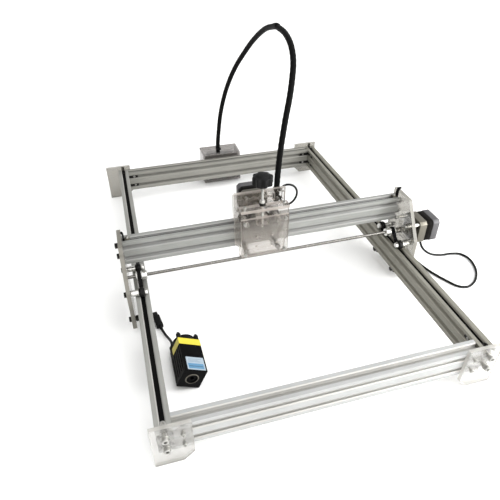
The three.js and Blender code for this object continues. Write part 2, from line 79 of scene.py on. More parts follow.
def add_node(shader, kind, inputs, **settings):
    """Adds a node: inputs are numbers, colours or the sockets that feed it."""
    tree = shader.id_data
    node = tree.nodes.new(kind)
    for name, value in settings.items():
        setattr(node, name, value)
    for name, value in inputs.items():
        if isinstance(value, bpy.types.NodeSocket):
            tree.links.new(value, node.inputs[name])
        else:
            node.inputs[name].default_value = value
    return node


camera_data = bpy.data.cameras.new("camera")
camera_data.lens = 34.64
camera_data.sensor_width = 36
camera = bpy.data.objects.new("camera", camera_data)
bpy.context.scene.collection.objects.link(camera)
camera.location = at(21.4, -327.1, 487.8)
camera_turn = Euler((math.radians(90 - 37.0), 0, math.radians(-15.61))).to_quaternion()
camera.rotation_euler = (camera_turn @ Quaternion((0, 0, 1), math.radians(-0.33))).to_euler()
bpy.context.scene.camera = camera
bpy.context.scene.view_settings.view_transform = "Standard"

# matt paper sweep, uncoated: even and nearly white, with a faint cloud in its tone
paper, shader = start_material("paper_sweep", Roughness=0.85)
coords = add_node(shader, "ShaderNodeTexCoord", {})
cloud = add_node(shader, "ShaderNodeTexNoise",
                 {"Vector": coords.outputs["Object"], "Scale": 3.0, "Detail": 2.0})
tone = add_node(shader, "ShaderNodeMix",
                {0: cloud.outputs["Fac"], 6: linear("#f6f6f5"), 7: linear("#f9f9f8")},
                data_type="RGBA")
shader.id_data.links.new(tone.outputs[2], shader.inputs["Base Color"])
bpy.ops.object.select_all(action="DESELECT")
bpy.ops.mesh.primitive_plane_add(size=16, location=(0, 0, -0.0004))
floor = bpy.context.object
floor.name = "floor"
floor.data.materials.append(paper)


def hang_lamp(name, size, power, place, target):
    """A square soft lamp, its side in metres and its power in watts, that faces a point."""
    lamp = bpy.data.lights.new(name, "AREA")
    lamp.size = size
    lamp.energy = power
    stand = bpy.data.objects.new(name, lamp)
    stand.location = place
    stand.rotation_euler = (Vector(target) - stand.location).to_track_quat("-Z", "Y").to_euler()
    bpy.context.scene.collection.objects.link(stand)


hang_lamp("soft_box", 1.6, 16, (0.7, -1.0, 2.2), (0, 0, 0))
hang_lamp("low_window", 0.9, 26, (1.5, -2.1, 0.5), (0.15, 0, 0.1))
hang_lamp("near_window", 0.5, 9, (0.85, -0.6, 0.45), (0.15, -0.06, 0.1))

WINDOW_SIDE = Vector((0.62, -0.70, 0.36)).normalized()
room = bpy.data.worlds.new("white_room")
room.use_nodes = True
daylight = room.node_tree.nodes["Background"]
daylight.inputs["Color"].default_value = linear("#fafafa")
heading = add_node(daylight, "ShaderNodeTexCoord", {})
towards = add_node(daylight, "ShaderNodeVectorMath", {0: heading.outputs["Generated"], 1: WINDOW_SIDE},
                   operation="DOT_PRODUCT")
fall = add_node(daylight, "ShaderNodeMapRange",
                {"Value": towards.outputs["Value"], "From Min": -0.9, "From Max": 0.95, "To Min": 0.5,
                 "To Max": 1.9}, interpolation_type="SMOOTHSTEP")
room.node_tree.links.new(fall.outputs["Result"], daylight.inputs["Strength"])
bpy.context.scene.world = room


# ---- Rails and beams ----
# Slotted aluminium extrusion, 20 x 40 mm, sawn to length and clear anodised. The two rails run the
# length of the machine; the cross beams butt against them and are held by corner pieces in the slots.

def finish(shader, pattern, dark, light, rough=None, relief=None, edge=None):
    """Lets one pattern carry a surface: its tone from dark to light, its gloss between two roughnesses and
    its relief, by strength and depth. edge rounds the look of sharp edges, by a radius in metres."""
    links = shader.id_data.links
    tone = add_node(shader, "ShaderNodeMix", {0: pattern, 6: linear(dark), 7: linear(light)},
                    data_type="RGBA")
    links.new(tone.outputs[2], shader.inputs["Base Color"])
    if rough:
        gloss = add_node(shader, "ShaderNodeMapRange",
                         {"Value": pattern, "To Min": rough[0], "To Max": rough[1]})
        links.new(gloss.outputs["Result"], shader.inputs["Roughness"])
    if relief:
        bump = add_node(shader, "ShaderNodeBump",
                        {"Height": pattern, "Strength": relief[0], "Distance": relief[1]})
        if edge:
            rounded = add_node(shader, "ShaderNodeBevel", {"Radius": edge}, samples=4)
            links.new(rounded.outputs["Normal"], bump.inputs["Normal"])
        links.new(bump.outputs["Normal"], shader.inputs["Normal"])


def mottled(name, dark, light, scale, detail, rough, relief=None, edge=None, **shader_values):
    """A material that one noise carries, even all over, or drawn out where scale gives each axis its own."""
    material, shader = start_material(name, **shader_values)
    place = add_node(shader, "ShaderNodeTexCoord", {}).outputs["Object"]
    if isinstance(scale, tuple):
        place = add_node(shader, "ShaderNodeMapping", {"Vector": place, "Scale": scale}).outputs["Vector"]
        scale = 1.0
    mottle = add_node(shader, "ShaderNodeTexNoise", {"Vector": place, "Scale": scale, "Detail": detail})
    finish(shader, mottle.outputs["Fac"], dark, light, rough, relief, edge)
    return material


def drawn_aluminium(name, light, dark, along):
    """Aluminium pushed through a die and anodised: a satin grey, fine lines along it, faint smudges."""
    material, shader = start_material(name, Metallic=0.62)
    coords = add_node(shader, "ShaderNodeTexCoord", {})
    # die lines are 0.1 mm apart; drawn 0.9 mm apart, so that they show
    scale = [1100, 1100, 1100]
    scale[along] = 7
    stretched = add_node(shader, "ShaderNodeMapping", {"Vector": coords.outputs["Object"], "Scale": scale})
    lines = add_node(shader, "ShaderNodeTexNoise",
                     {"Vector": stretched.outputs["Vector"], "Scale": 1.0, "Detail": 3.0})
    smudge = add_node(shader, "ShaderNodeTexNoise",
                      {"Vector": coords.outputs["Object"], "Scale": 22.0, "Detail": 5.0, "Roughness": 0.6})
    both = add_node(shader, "ShaderNodeMix", {0: 0.45, 2: smudge.outputs["Fac"], 3: lines.outputs["Fac"]})
    spread = add_node(shader, "ShaderNodeMapRange",
                      {"Value": both.outputs[0], "From Min": 0.34, "From Max": 0.66})
    tone = add_node(shader, "ShaderNodeMix", {0: spread.outputs["Result"], 6: linear(dark), 7: linear(light)},
                    data_type="RGBA")
    rough = add_node(shader, "ShaderNodeMapRange",
                     {"Value": smudge.outputs["Fac"], "From Min": 0.3, "From Max": 0.7, "To Min": 0.46,
                      "To Max": 0.6})
    edge = add_node(shader, "ShaderNodeBevel", {"Radius": 0.0004}, samples=4)
    bump = add_node(shader, "ShaderNodeBump", {"Height": lines.outputs["Fac"], "Strength": 0.16,
                                               "Distance": 0.0003, "Normal": edge.outputs["Normal"]})
    links = shader.id_data.links
    links.new(tone.outputs[2], shader.inputs["Base Color"])
    links.new(rough.outputs["Result"], shader.inputs["Roughness"])
    links.new(bump.outputs["Normal"], shader.inputs["Normal"])
    return material


def coat(name, material):
    """Gives a CAD node its finish."""
    for slot_index in range(len(nodes[name].material_slots)):
        nodes[name].material_slots[slot_index].material = material


def coat_extrusion(name, along, outside, inside):
    """Finish of an extrusion: its outer faces, and the faces in its slots, each with tones of their own; the
    slot tones are painted light and shade, set lighter or darker than the outer faces to even out the shade
    in the slots.
    """
    beam = nodes[name]
    beam.data.materials.clear()
    beam.data.materials.append(drawn_aluminium(f"anodised_{name}", *outside, along))
    beam.data.materials.append(drawn_aluminium(f"anodised_slots_painted_light_{name}", *inside, along))
    low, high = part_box(name)
    for polygon in beam.data.polygons:
        axis = max(range(3), key=lambda a: abs(polygon.normal[a]))
        outer_plane = (high if polygon.normal[axis] > 0 else low)[axis]
        polygon.material_index = 0 if abs(polygon.center[axis] - outer_plane) < 1e-4 else 1


ALONG_X, ALONG_Y = 0, 1
# The tones are painted light and shade, part by part: the front beam paler where most light falls, the right
# rail and the rear beam darker, away from the light; on the rails the slot faces are painted lighter to
# cancel the shade in the slots, and on the rear beam a little darker as painted shade.
coat_extrusion("left_rail", ALONG_Y, ("#9c9c98", "#8b8b86"), ("#b2b2ae", "#a3a29e"))
coat_extrusion("right_rail", ALONG_Y, ("#8b8980", "#78766d"), ("#b0ada2", "#98958a"))
coat_extrusion("front_beam", ALONG_X, ("#b1b2b1", "#a2a3a2"), ("#b0afab", "#a19f9a"))
coat_extrusion("rear_beam", ALONG_X, ("#8b8a84", "#7a7973"), ("#85847e", "#75746e"))

# zinc-plated steel, rolled and tumbled: bright grey with a slight mottle
zinc_steel = mottled("zinc_plated_steel", "#8f8e8a", "#c2c1bd", 420.0, 3.0, (0.22, 0.42), (0.1, 0.0001),
                     Metallic=1.0)

# black-oxide steel, dipped: nearly black with a dull oily gloss, worn paler on high spots
black_steel, shader = start_material("black_oxide_steel", Metallic=0.35, Specular_IOR_Level=0.15)
coords = add_node(shader, "ShaderNodeTexCoord", {})
mottle = add_node(shader, "ShaderNodeTexNoise",
                  {"Vector": coords.outputs["Object"], "Scale": 350.0, "Detail": 4.0})
worn = add_node(shader, "ShaderNodeMapRange",
                {"Value": mottle.outputs["Fac"], "From Min": 0.45, "From Max": 0.75})
rough = add_node(shader, "ShaderNodeMapRange", {"Value": mottle.outputs["Fac"], "To Min": 0.3, "To Max": 0.5})
finish(shader, worn.outputs["Result"], "#11100f", "#2e2c29")
shader.id_data.links.new(rough.outputs["Result"], shader.inputs["Roughness"])


def start_box(low, high):
    """A box between two corners, left in object mode."""
    bpy.ops.object.select_all(action="DESELECT")
    bpy.ops.mesh.primitive_cube_add(size=1, location=(low + high) / 2)
    box = bpy.context.object
    box.scale = high - low
    bpy.ops.object.transform_apply(location=True, rotation=True, scale=True)
    return box


def start_round(radius, length, centre, axis="z", sides=24):
    """A cylinder in mm about a centre, lying along x, y or z."""
    turn = {"x": (0, math.pi / 2, 0), "y": (-math.pi / 2, 0, 0), "z": (0, 0, 0)}[axis]
    bpy.ops.object.select_all(action="DESELECT")
    bpy.ops.mesh.primitive_cylinder_add(vertices=sides, radius=radius / 1000, depth=length / 1000,
                                        location=centre, rotation=turn)
    bpy.ops.object.transform_apply(location=True, rotation=True, scale=True)
    return bpy.context.object


def edit(piece):
    bpy.ops.object.select_all(action="DESELECT")
    bpy.context.view_layer.objects.active = piece
    piece.select_set(True)
    bpy.ops.object.mode_set(mode="EDIT")


def pick(kind, test):
    """In edit mode: selects only the faces, edges or verts that pass the test."""
    bpy.ops.mesh.select_mode(type={"faces": "FACE", "edges": "EDGE", "verts": "VERT"}[kind])
    bpy.ops.mesh.select_all(action="DESELECT")
    shape = bmesh.from_edit_mesh(bpy.context.object.data)
    for element in getattr(shape, kind):
        element.select_set(bool(test(element)))
    shape.select_flush_mode()
    bmesh.update_edit_mesh(bpy.context.object.data)


def draw_out(x, y, z):
    """In edit mode: extrudes the selected faces by a step in mm."""
    bpy.ops.mesh.extrude_region_move(TRANSFORM_OT_translate={"value": mm(x, y, z)})


def middle(element):
    """The middle of an edge or a face."""
    return sum((v.co for v in element.verts), Vector()) / len(element.verts)


def middle_of_selected():
    """In edit mode: the middle of the selected vertices."""
    chosen = [v.co.copy() for v in bmesh.from_edit_mesh(bpy.context.object.data).verts if v.select]
    return sum(chosen, Vector()) / len(chosen)


def bevel(width, steps=2, test=None):
    """In edit mode: rounds the edges that pass the test, or all sharp ones, by a width in mm."""
    pick("edges", test or (lambda e: e.is_manifold and e.calc_face_angle() > 0.6))
    bpy.ops.mesh.bevel(offset=width / 1000, segments=steps, affect="EDGES")


def settle(piece, name, material, body=None, angle=35):
    """Back to object mode; names the piece, smooths it, gives it its finish and puts it on its body."""
    if bpy.context.object and bpy.context.object.mode == "EDIT":
        bpy.ops.object.mode_set(mode="OBJECT")
    bpy.ops.object.select_all(action="DESELECT")
    bpy.context.view_layer.objects.active = piece
    piece.select_set(True)
    piece.name = piece.data.name = name
    piece.data.materials.clear()
    piece.data.materials.append(material)
    bpy.ops.object.shade_smooth_by_angle(angle=math.radians(angle))
    if body:
        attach(piece, body)
    return piece


def copy_to(master, name, place, body, direction=(0, 0, 1), turn=0.0):
    """A copy of a master made at the origin and pointing up, with its own mesh at its own place."""
    piece = master.copy()
    piece.data = master.data.copy()
    piece.name = piece.data.name = name
    bpy.context.scene.collection.objects.link(piece)
    lean = Vector((0, 0, 1)).rotation_difference(Vector(direction)).to_matrix().to_4x4()
    piece.data.transform(Matrix.Translation(place) @ lean @ Matrix.Rotation(turn, 4, "Z"))
    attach(piece, body)
    return piece


def fasten(master, name, place, body="frame", direction=(0, 0, 1), turn=0.0):
    """A copy of a screw, nut, washer or spacer."""
    return copy_to(master, name, place, body, direction, turn)


def discard(*masters):
    for master in masters:
        bpy.data.objects.remove(master)


def mm(x, y, z):
    return Vector((x, y, z)) / 1000


# the corner piece: an L of flat bar that lies in the slots behind their mouths, with two grub screws
# the two slots on a rail's side, in mm over its top face
SLOT_LEVELS = (("upper", -10), ("lower", -30))
corner_piece = start_box(mm(-4.8, -4.8, -2.7), mm(-2.0, 18, 2.7))
edit(corner_piece)
pick("faces", lambda f: f.normal.y < -0.9)
bpy.ops.mesh.delete(type="FACE")
bpy.ops.mesh.select_all(action="SELECT")
bpy.ops.mesh.fill_holes(sides=8)
bpy.ops.mesh.bisect(plane_co=mm(0, -2.0, 0), plane_no=(0, 1, 0))
pick("faces", lambda f: f.normal.x > 0.9 and middle(f).y < -0.0021)
draw_out(20, 0, 0)
bevel(0.3, 1)
settle(corner_piece, "corner_piece", black_steel)
grub = start_round(2.0, 3.2, mm(0, 0, 0.2), sides=24)
edit(grub)
pick("faces", lambda f: f.normal.z > 0.9)
bpy.ops.mesh.inset(thickness=0.0009)
draw_out(0, 0, -1.6)
bevel(0.2, 1, lambda e: middle(e).z > 0.0017 and middle(e).xy.length > 0.0018)
settle(grub, "grub", zinc_steel)
for corner, (x, y, quarter) in {"front_left": (20, 20, 0), "front_right": (430, 20, 1),
                                "rear_right": (430, 630, 2), "rear_left": (20, 630, 3)}.items():
    spin = math.radians(90 * quarter)
    for level, z in SLOT_LEVELS:
        tag = f"{corner}_{level}"
        fasten(corner_piece, f"corner_piece_{tag}", at(x, y, z), "frame", turn=spin)
        arm = Matrix.Rotation(spin, 3, "Z")
        for number, (offset, facing) in enumerate([((-3.2, 11, 0), (1, 0, 0)), ((11, -3.2, 0), (0, 1, 0))]):
            fasten(grub, f"grub_screw_{tag}_{number + 1}", at(x, y, z) + arm @ mm(*offset), "frame",
                   direction=arm @ Vector(facing))
discard(corner_piece, grub)


# ---- End plates ----
# Clear acrylic sheet, 5 mm, laser-cut: polished faces with fine scratches and frosted, striped edges.
# Each is screwed to a rail's end with two cap screws, and all but the rear left one to a beam with two small
# ones.

def acrylic_sheet(name, colour, clear, rough_low, rough_high, body=1.0, stripe=None):
    """Cast acrylic: clear, with a tint. body is how much of the light the sheet bends or holds back; stripe
    gives a laser-cut edge's fine ridges."""
    material, shader = start_material(name, IOR=1.49, Transmission_Weight=clear, Alpha=body)
    coords = add_node(shader, "ShaderNodeTexCoord", {})
    haze = add_node(shader, "ShaderNodeTexNoise",
                    {"Vector": coords.outputs["Object"], "Scale": 60.0, "Detail": 4.0})
    other = tuple(min(1.0, c * 1.14) for c in linear(colour)[:3]) + (1.0,)
    tone = add_node(shader, "ShaderNodeMix", {0: haze.outputs["Fac"], 6: linear(colour), 7: other},
                    data_type="RGBA")
    rough = add_node(shader, "ShaderNodeMapRange",
                     {"Value": haze.outputs["Fac"], "From Min": 0.3, "From Max": 0.7, "To Min": rough_low,
                      "To Max": rough_high})
    # scratches are 0.05 mm wide; drawn 0.3 mm wide, so that they show
    scale = (3200, 220, 3200) if stripe is None else stripe
    drawn = add_node(shader, "ShaderNodeMapping", {"Vector": coords.outputs["Object"], "Scale": scale})
    marks = add_node(shader, "ShaderNodeTexNoise",
                     {"Vector": drawn.outputs["Vector"], "Scale": 1.0, "Detail": 2.0})
    bump = add_node(shader, "ShaderNodeBump",
                    {"Height": marks.outputs["Fac"], "Strength": 0.04 if stripe is None else 0.35,
                     "Distance": 0.0002})
    links = shader.id_data.links
    links.new(tone.outputs[2], shader.inputs["Base Color"])
    links.new(rough.outputs["Result"], shader.inputs["Roughness"])
    links.new(bump.outputs["Normal"], shader.inputs["Normal"])
    return material


CUT_RIDGES = (2600, 2600, 2600)
acrylic_face = acrylic_sheet("clear_acrylic_sheet", "#d9d7d2", 0.92, 0.01, 0.04, 0.5)
# The rear foot plates are the same clear acrylic, painted darker: painted shade, as less light reaches the
# rear.
rear_acrylic_painted_shade = acrylic_sheet("clear_acrylic_sheet_rear_painted_shade", "#87847c", 0.85, 0.03, 0.1, 0.85)
acrylic_edge = acrylic_sheet("laser_cut_acrylic_edge", "#a9a7a1", 0.45, 0.3, 0.5, 0.9, stripe=CUT_RIDGES)


def coat_sheet(name, across, face, edge):
    """Finish of a sheet: its two broad faces, square to the axis across, and its cut edges."""
    sheet = nodes[name]
    sheet.data.materials.clear()
    sheet.data.materials.append(face)
    sheet.data.materials.append(edge)
    for polygon in sheet.data.polygons:
        polygon.material_index = 0 if abs(polygon.normal[across]) > 0.9 else 1


ALONG_Z = 2
for corner in ("front_left", "front_right", "rear_left", "rear_right"):
    face = acrylic_face if "front" in corner else rear_acrylic_painted_shade
    coat_sheet(f"foot_plate_{corner}", ALONG_Y, face, acrylic_edge)


def model_cap_screw(name, head_radius, head_height, shank_radius, length, material):
    """A socket cap screw that stands head up, with the underside of its head at the origin."""
    socket = head_radius * 0.52
    screw = start_round(head_radius, head_height, mm(0, 0, head_height / 2), sides=24)
    edit(screw)
    pick("faces", lambda f: f.normal.z > 0.9)
    bpy.ops.mesh.inset(thickness=(head_radius - socket) / 1000)
    shape = bmesh.from_edit_mesh(screw.data)
    for vertex in (v for v in shape.verts if v.select):
        turn = math.atan2(vertex.co.y, vertex.co.x) % (math.pi / 3) - math.pi / 6
        vertex.co.xy *= socket / 1000 * math.cos(math.pi / 6) / math.cos(turn) / vertex.co.xy.length
    bmesh.update_edit_mesh(screw.data)
    draw_out(0, 0, -head_height * 0.55)
    pick("faces", lambda f: f.normal.z < -0.9)
    bpy.ops.mesh.inset(thickness=(head_radius - shank_radius) / 1000)
    draw_out(0, 0, -length)
    rim = head_height / 1000 - 1e-5
    bevel(head_height * 0.1, 2, lambda e: middle(e).z > rim and middle(e).xy.length > head_radius * 0.00095)
    return settle(screw, name, material)


def level_edge(e):
    return abs(e.verts[0].co.z - e.verts[1].co.z) < 1e-6


def model_washer(name, radius, thickness, bore, material):
    """A flat washer lying on the origin."""
    washer = start_round(radius, thickness, mm(0, 0, thickness / 2), sides=28)
    edit(washer)
    pick("faces", lambda f: abs(f.normal.z) > 0.9)
    bpy.ops.mesh.inset(thickness=(radius - bore) / 1000)
    bpy.ops.mesh.bridge_edge_loops()
    bevel(0.15, 1, lambda e: middle(e).xy.length > radius * 0.00095 and level_edge(e))
    return settle(washer, name, material)


screw_m5 = model_cap_screw("screw_m5", 4.25, 5.0, 2.5, 14, zinc_steel)
washer_m5 = model_washer("washer_m5", 5.0, 0.9, 2.6, zinc_steel)
screw_m3 = model_cap_screw("screw_m3", 2.75, 3.0, 1.5, 5, zinc_steel)
for corner, screw_x, beam_x, y, outward in [("front_left", 10, 31, -5.1, -1),
                                            ("front_right", 440, 418, -5.1, -1),
                                            ("rear_left", 10, 19, 655.1, 1),
                                            ("rear_right", 440, 418, 655.1, 1)]:
    for level, z in SLOT_LEVELS:
        tag = f"{corner}_{level}"
        facing = (0, outward, 0)
        fasten(washer_m5, f"washer_{tag}", at(screw_x, y, z), "frame", facing)
        fasten(screw_m5, f"rail_screw_{tag}", at(screw_x, y + outward * 0.9, z), "frame", facing,
               turn=0.3 if level == "upper" else 0.8)
        if corner != "rear_left":
            fasten(screw_m3, f"beam_screw_{tag}", at(beam_x, y, z), "frame", facing, turn=0.5)


# ---- Rail belts ----
# A 6 mm toothed rubber belt lies in each rail's top slot. A cap screw holds it down at both ends of
# the rail, and behind the rear screw its end stands up.

def toothed_belt(name, along):
    """Moulded neoprene: dull black, a tooth every 2 mm, dusty in places."""
    material, shader = start_material(name, IOR=1.52, Specular_IOR_Level=0.08)
    coords = add_node(shader, "ShaderNodeTexCoord", {})
    dust = add_node(shader, "ShaderNodeTexNoise",
                    {"Vector": coords.outputs["Object"], "Scale": 90.0, "Detail": 5.0, "Roughness": 0.65})
    finish(shader, dust.outputs["Fac"], "#030303", "#0c0c0c", (0.6, 0.9))
    teeth = add_node(shader, "ShaderNodeTexWave",
                     {"Vector": coords.outputs["Object"], "Scale": 500 / 3.2, "Distortion": 0.0},
                     bands_direction="XYZ"[along])
    bump = add_node(shader, "ShaderNodeBump",
                    {"Height": teeth.outputs["Fac"], "Strength": 0.5, "Distance": 0.0007})
    shader.id_data.links.new(bump.outputs["Normal"], shader.inputs["Normal"])
    return material


rail_belt = toothed_belt("toothed_belt_lengthwise", ALONG_Y)
for name in ("belt_run_left", "belt_run_right", "belt_loop_left", "belt_loop_right"):
    coat(name, rail_belt)

belt_screw_bright = model_cap_screw("belt_screw_bright", 4.0, 3.6, 2.0, 1.6, zinc_steel)
belt_screw_black = model_cap_screw("belt_screw_black", 4.0, 3.6, 2.0, 1.6, black_steel)
belt_fold = start_box(mm(-3, -3.6, 0), mm(3, 3.6, 1.4))
edit(belt_fold)
pick("faces", lambda f: f.normal.y > 0.9)
for forward, upward in ((1.3, 0.5), (0.8, 1.5), (0.1, 5.5), (-0.6, 3.2)):
    draw_out(0, forward, upward)
    if upward < 3:
        bpy.ops.transform.rotate(value=math.radians(-38), orient_axis="X",
                                 center_override=middle_of_selected())
bevel(0.2, 1)
settle(belt_fold, "belt_fold", rail_belt, angle=50)
for side, x in (("left", 10), ("right", 440)):
    front_screw = belt_screw_bright if side == "left" else belt_screw_black
    fasten(front_screw, f"belt_screw_{side}_front", at(x, 8, -4.2), "frame", turn=0.4)
    fasten(belt_screw_black, f"belt_screw_{side}_rear", at(x, 638, -4.2), "frame", turn=0.1)
    copy_to(belt_fold, f"belt_end_{side}_rear", at(x, 645.5, -4.2), "frame")
discard(belt_screw_bright, belt_screw_black, belt_fold)


# ---- Controller ----
# A circuit board with two motor drivers stands in a box of smoked acrylic sheet, which is glued
# behind the rear beam and open at the back. Its fittings are soldered to the board.

smoked_face = acrylic_sheet("smoked_acrylic_sheet", "#746f6b", 0.72, 0.05, 0.14, 0.8)
smoked_edge = acrylic_sheet("smoked_acrylic_edge", "#a8a29d", 0.35, 0.3, 0.5, 0.9, stripe=CUT_RIDGES)
coat_sheet("controller_case", ALONG_Y, smoked_face, smoked_edge)
for polygon in nodes["controller_case"].data.polygons:
    back_rim = polygon.normal.y > 0.9 and polygon.center.y > at(0, 694, 0).y
    polygon.material_index = 1 if back_rim else 0

# solder mask over glass laminate: dark blue-green, smooth, with faint copper tracks under it
board_mask, shader = start_material("solder_mask_board", Roughness=0.35)
coords = add_node(shader, "ShaderNodeTexCoord", {})
tracks = add_node(shader, "ShaderNodeTexBrick",
                  {"Vector": coords.outputs["Object"], "Color1": linear("#1b2630"),
                   "Color2": linear("#212e38"),
                   "Mortar": linear("#3a4a50"), "Scale": 160.0, "Mortar Size": 0.03})
turned_coords = add_node(shader, "ShaderNodeMapping",
                         {"Vector": coords.outputs["Object"], "Rotation": (math.pi / 2, 0, 0)})
shader.id_data.links.new(turned_coords.outputs["Vector"], tracks.inputs["Vector"])
bump = add_node(shader, "ShaderNodeBump",
                {"Height": tracks.outputs["Fac"], "Strength": 0.2, "Distance": 0.0001})
shader.id_data.links.new(tracks.outputs["Color"], shader.inputs["Base Color"])
shader.id_data.links.new(bump.outputs["Normal"], shader.inputs["Normal"])
coat("controller_board", board_mask)

# black plastic, injection moulded on a spark-eroded tool: a fine even grain that breaks the gloss
black_plastic, shader = start_material("moulded_black_abs", IOR=1.54, Specular_IOR_Level=0.13)
coords = add_node(shader, "ShaderNodeTexCoord", {})
grain = add_node(shader, "ShaderNodeTexNoise",
                 {"Vector": coords.outputs["Object"], "Scale": 1400.0, "Detail": 2.0})
patch = add_node(shader, "ShaderNodeTexNoise",
                 {"Vector": coords.outputs["Object"], "Scale": 70.0, "Detail": 3.0})
finish(shader, patch.outputs["Fac"], "#050505", "#0e0e0e", (0.38, 0.58))
bump = add_node(shader, "ShaderNodeBump",
                {"Height": grain.outputs["Fac"], "Strength": 0.25, "Distance": 0.00012})
shader.id_data.links.new(bump.outputs["Normal"], shader.inputs["Normal"])

# the driver's heat sink: a black anodised comb of six fins
heat_sink = start_box(mm(-8, 0, -11), mm(8, 2.2, 11))
edit(heat_sink)
for step in range(1, 12):
    bpy.ops.mesh.select_all(action="SELECT")
    bpy.ops.mesh.bisect(plane_co=mm(-8 + step * 16 / 12 + 0.1, 0, 0), plane_no=(1, 0, 0))
pick("faces", lambda f: f.normal.y > 0.9 and round((middle(f).x + 0.008) / 0.01333 * 10 - 0.5) % 2 == 0)
draw_out(0, 6.5, 0)
settle(heat_sink, "heat_sink", black_steel)
for number, x in ((1, 211), (2, 239)):
    copy_to(heat_sink, f"driver_heat_sink_{number}", at(x, 680.3, -28), "frame")
discard(heat_sink)

# smoothing capacitors: sleeved aluminium cans with a rolled groove and a bare top
capacitor = start_round(4.0, 12, mm(0, 0, 6), sides=24)
edit(capacitor)
pick("faces", lambda f: f.normal.z > 0.9)
bpy.ops.mesh.inset(thickness=0.0007)
draw_out(0, 0, -0.4)
bevel(0.5, 2, lambda e: middle(e).z > 0.0119 and middle(e).xy.length > 0.0038)
settle(capacitor, "capacitor", black_plastic)
for number, (x, z) in enumerate([(262, -50), (197.5, -50), (255, -22)]):
    copy_to(capacitor, f"board_capacitor_{number + 1}", at(x, 663.9, z), "frame", (0, 1, 0))
discard(capacitor)

# pin headers: a black strip with square gilt pins at 2.54 mm
gilt_pin = mottled("gilt_brass_pin", "#b08d3c", "#dcbb66", 900.0, 2.0, (0.25, 0.4), Metallic=1.0)
header = start_box(at(200, 663.7, -13.5), at(258, 666.3, -11))
edit(header)
bevel(0.25, 1)
settle(header, "board_header", black_plastic, "frame")
pin = start_box(mm(-0.32, -0.32, 0), mm(0.32, 0.32, 9))
edit(pin)
bevel(0.12, 1)
settle(pin, "pin", gilt_pin)
for number in range(20):
    copy_to(pin, f"board_pin_{number + 1}", at(203 + 2.54 * number, 664, -12.25), "frame",
            (0, 1, 0))
discard(pin)

# sockets for power and data open towards the right side of the board's back
power_socket = start_box(at(254, 663.7, -44), at(264, 677, -34))
edit(power_socket)
pick("faces", lambda f: f.normal.y > 0.9)
bpy.ops.mesh.inset(thickness=0.0018)
draw_out(0, -6, 0)
bevel(0.3, 1)
settle(power_socket, "board_power_socket", black_plastic, "frame")
data_socket = start_box(at(194, 663.7, -38), at(199, 676, -27))
edit(data_socket)
pick("faces", lambda f: f.normal.y > 0.9)
bpy.ops.mesh.inset(thickness=0.0007)
draw_out(0, -7, 0)
bevel(0.25, 1)
settle(data_socket, "board_data_socket", zinc_steel, "frame")

# four pillars hold the board on the case's front wall
pillar = start_round(2.4, 8.9, mm(0, 0, 4.45), sides=6)
edit(pillar)
bevel(0.3, 1)
settle(pillar, "pillar", zinc_steel, angle=20)
for number, (x, z) in enumerate([(196, -53), (263, -53), (196, -8), (263, -8)]):
    fasten(pillar, f"board_pillar_{number + 1}", at(x, 653.2, z), "frame", (0, 1, 0))
    fasten(screw_m3, f"board_screw_{number + 1}", at(x, 663.7, z), "frame", (0, 1, 0))
discard(pillar)


# ---- Gantry side plates ----
# Two clear acrylic side plates, 6 mm, laser-cut, hang on the rails by four wheels each and carry
# the gantry beam, which is screwed between them with two cap screws at each end.

gantry_face = acrylic_sheet("clear_acrylic_side_plate", "#86837b", 0.88, 0.02, 0.06, 0.75)
gantry_edge = acrylic_sheet("laser_cut_side_plate_edge", "#77746b", 0.4, 0.3, 0.5, 0.9, stripe=CUT_RIDGES)
for side in ("left", "right"):
    coat_sheet(f"gantry_plate_{side}", ALONG_X, gantry_face, gantry_edge)
# The gantry beam's slot faces are painted a little darker than its outer faces: painted shade in the slots.
coat_extrusion("gantry_beam", ALONG_X, ("#999a97", "#898a86"), ("#8e8e8c", "#7f7f7c"))
BEAM_Y = 291  # middle of the gantry beam
beam_screw = model_cap_screw("beam_screw", 4.25, 5.0, 2.5, 14, black_steel)
for side, x, outward in (("left", -12.2, -1), ("right", 462.2, 1)):
    for level, z in (("lower", 36), ("upper", 56)):
        facing = (outward, 0, 0)
        fasten(washer_m5, f"beam_end_washer_{side}_{level}", at(x, BEAM_Y, z), "gantry", facing)
        fasten(beam_screw, f"beam_end_screw_{side}_{level}", at(x + outward * 0.9, BEAM_Y, z), "gantry",
               facing, turn=0.6)
discard(beam_screw)


# ---- Gantry wheels ----
# Small V wheels of turned black acetal, each on two shielded bearings. A cap screw through the side
# plate holds each, with a turned aluminium spacer inside the plate and a lock nut at its end.

# acetal, turned: dark, waxy, with fine rings that follow the tool round the wheel
acetal = mottled("turned_black_acetal", "#060606", "#131211", 260.0, 4.0, (0.3, 0.55), (0.12, 0.0001), 0.0004,
                 IOR=1.48, Specular_IOR_Level=0.15)

# aluminium, turned on a lathe: bright, with rings too fine to see that show as a soft streak
turned_aluminium = mottled("turned_aluminium", "#c4c3bf", "#e6e5e1", 700.0, 2.0, (0.2, 0.36), (0.08, 0.0001),
                           Metallic=1.0)


def turned(profile, steps=24):
    """A solid turned about the upright axis from (radius, height) pairs in mm; it starts and ends on the
    axis, or closes on itself where the piece has a bore."""
    closed = profile[0][0] > 0
    mesh = bpy.data.meshes.new("turned")
    corners = [mm(r, 0, h) for r, h in profile]
    edges = [(i, i + 1) for i in range(len(corners) - 1)] + ([(len(corners) - 1, 0)] if closed else [])
    mesh.from_pydata(corners, edges, [])
    piece = bpy.data.objects.new("turned", mesh)
    bpy.context.scene.collection.objects.link(piece)
    edit(piece)
    bpy.ops.mesh.select_all(action="SELECT")
    bpy.ops.mesh.spin(steps=steps, angle=2 * math.pi, center=(0, 0, 0), axis=(0, 0, 1))
    bpy.ops.mesh.select_all(action="SELECT")
    bpy.ops.mesh.remove_doubles(threshold=1e-6)
    bpy.ops.mesh.normals_make_consistent(inside=False)
    return piece


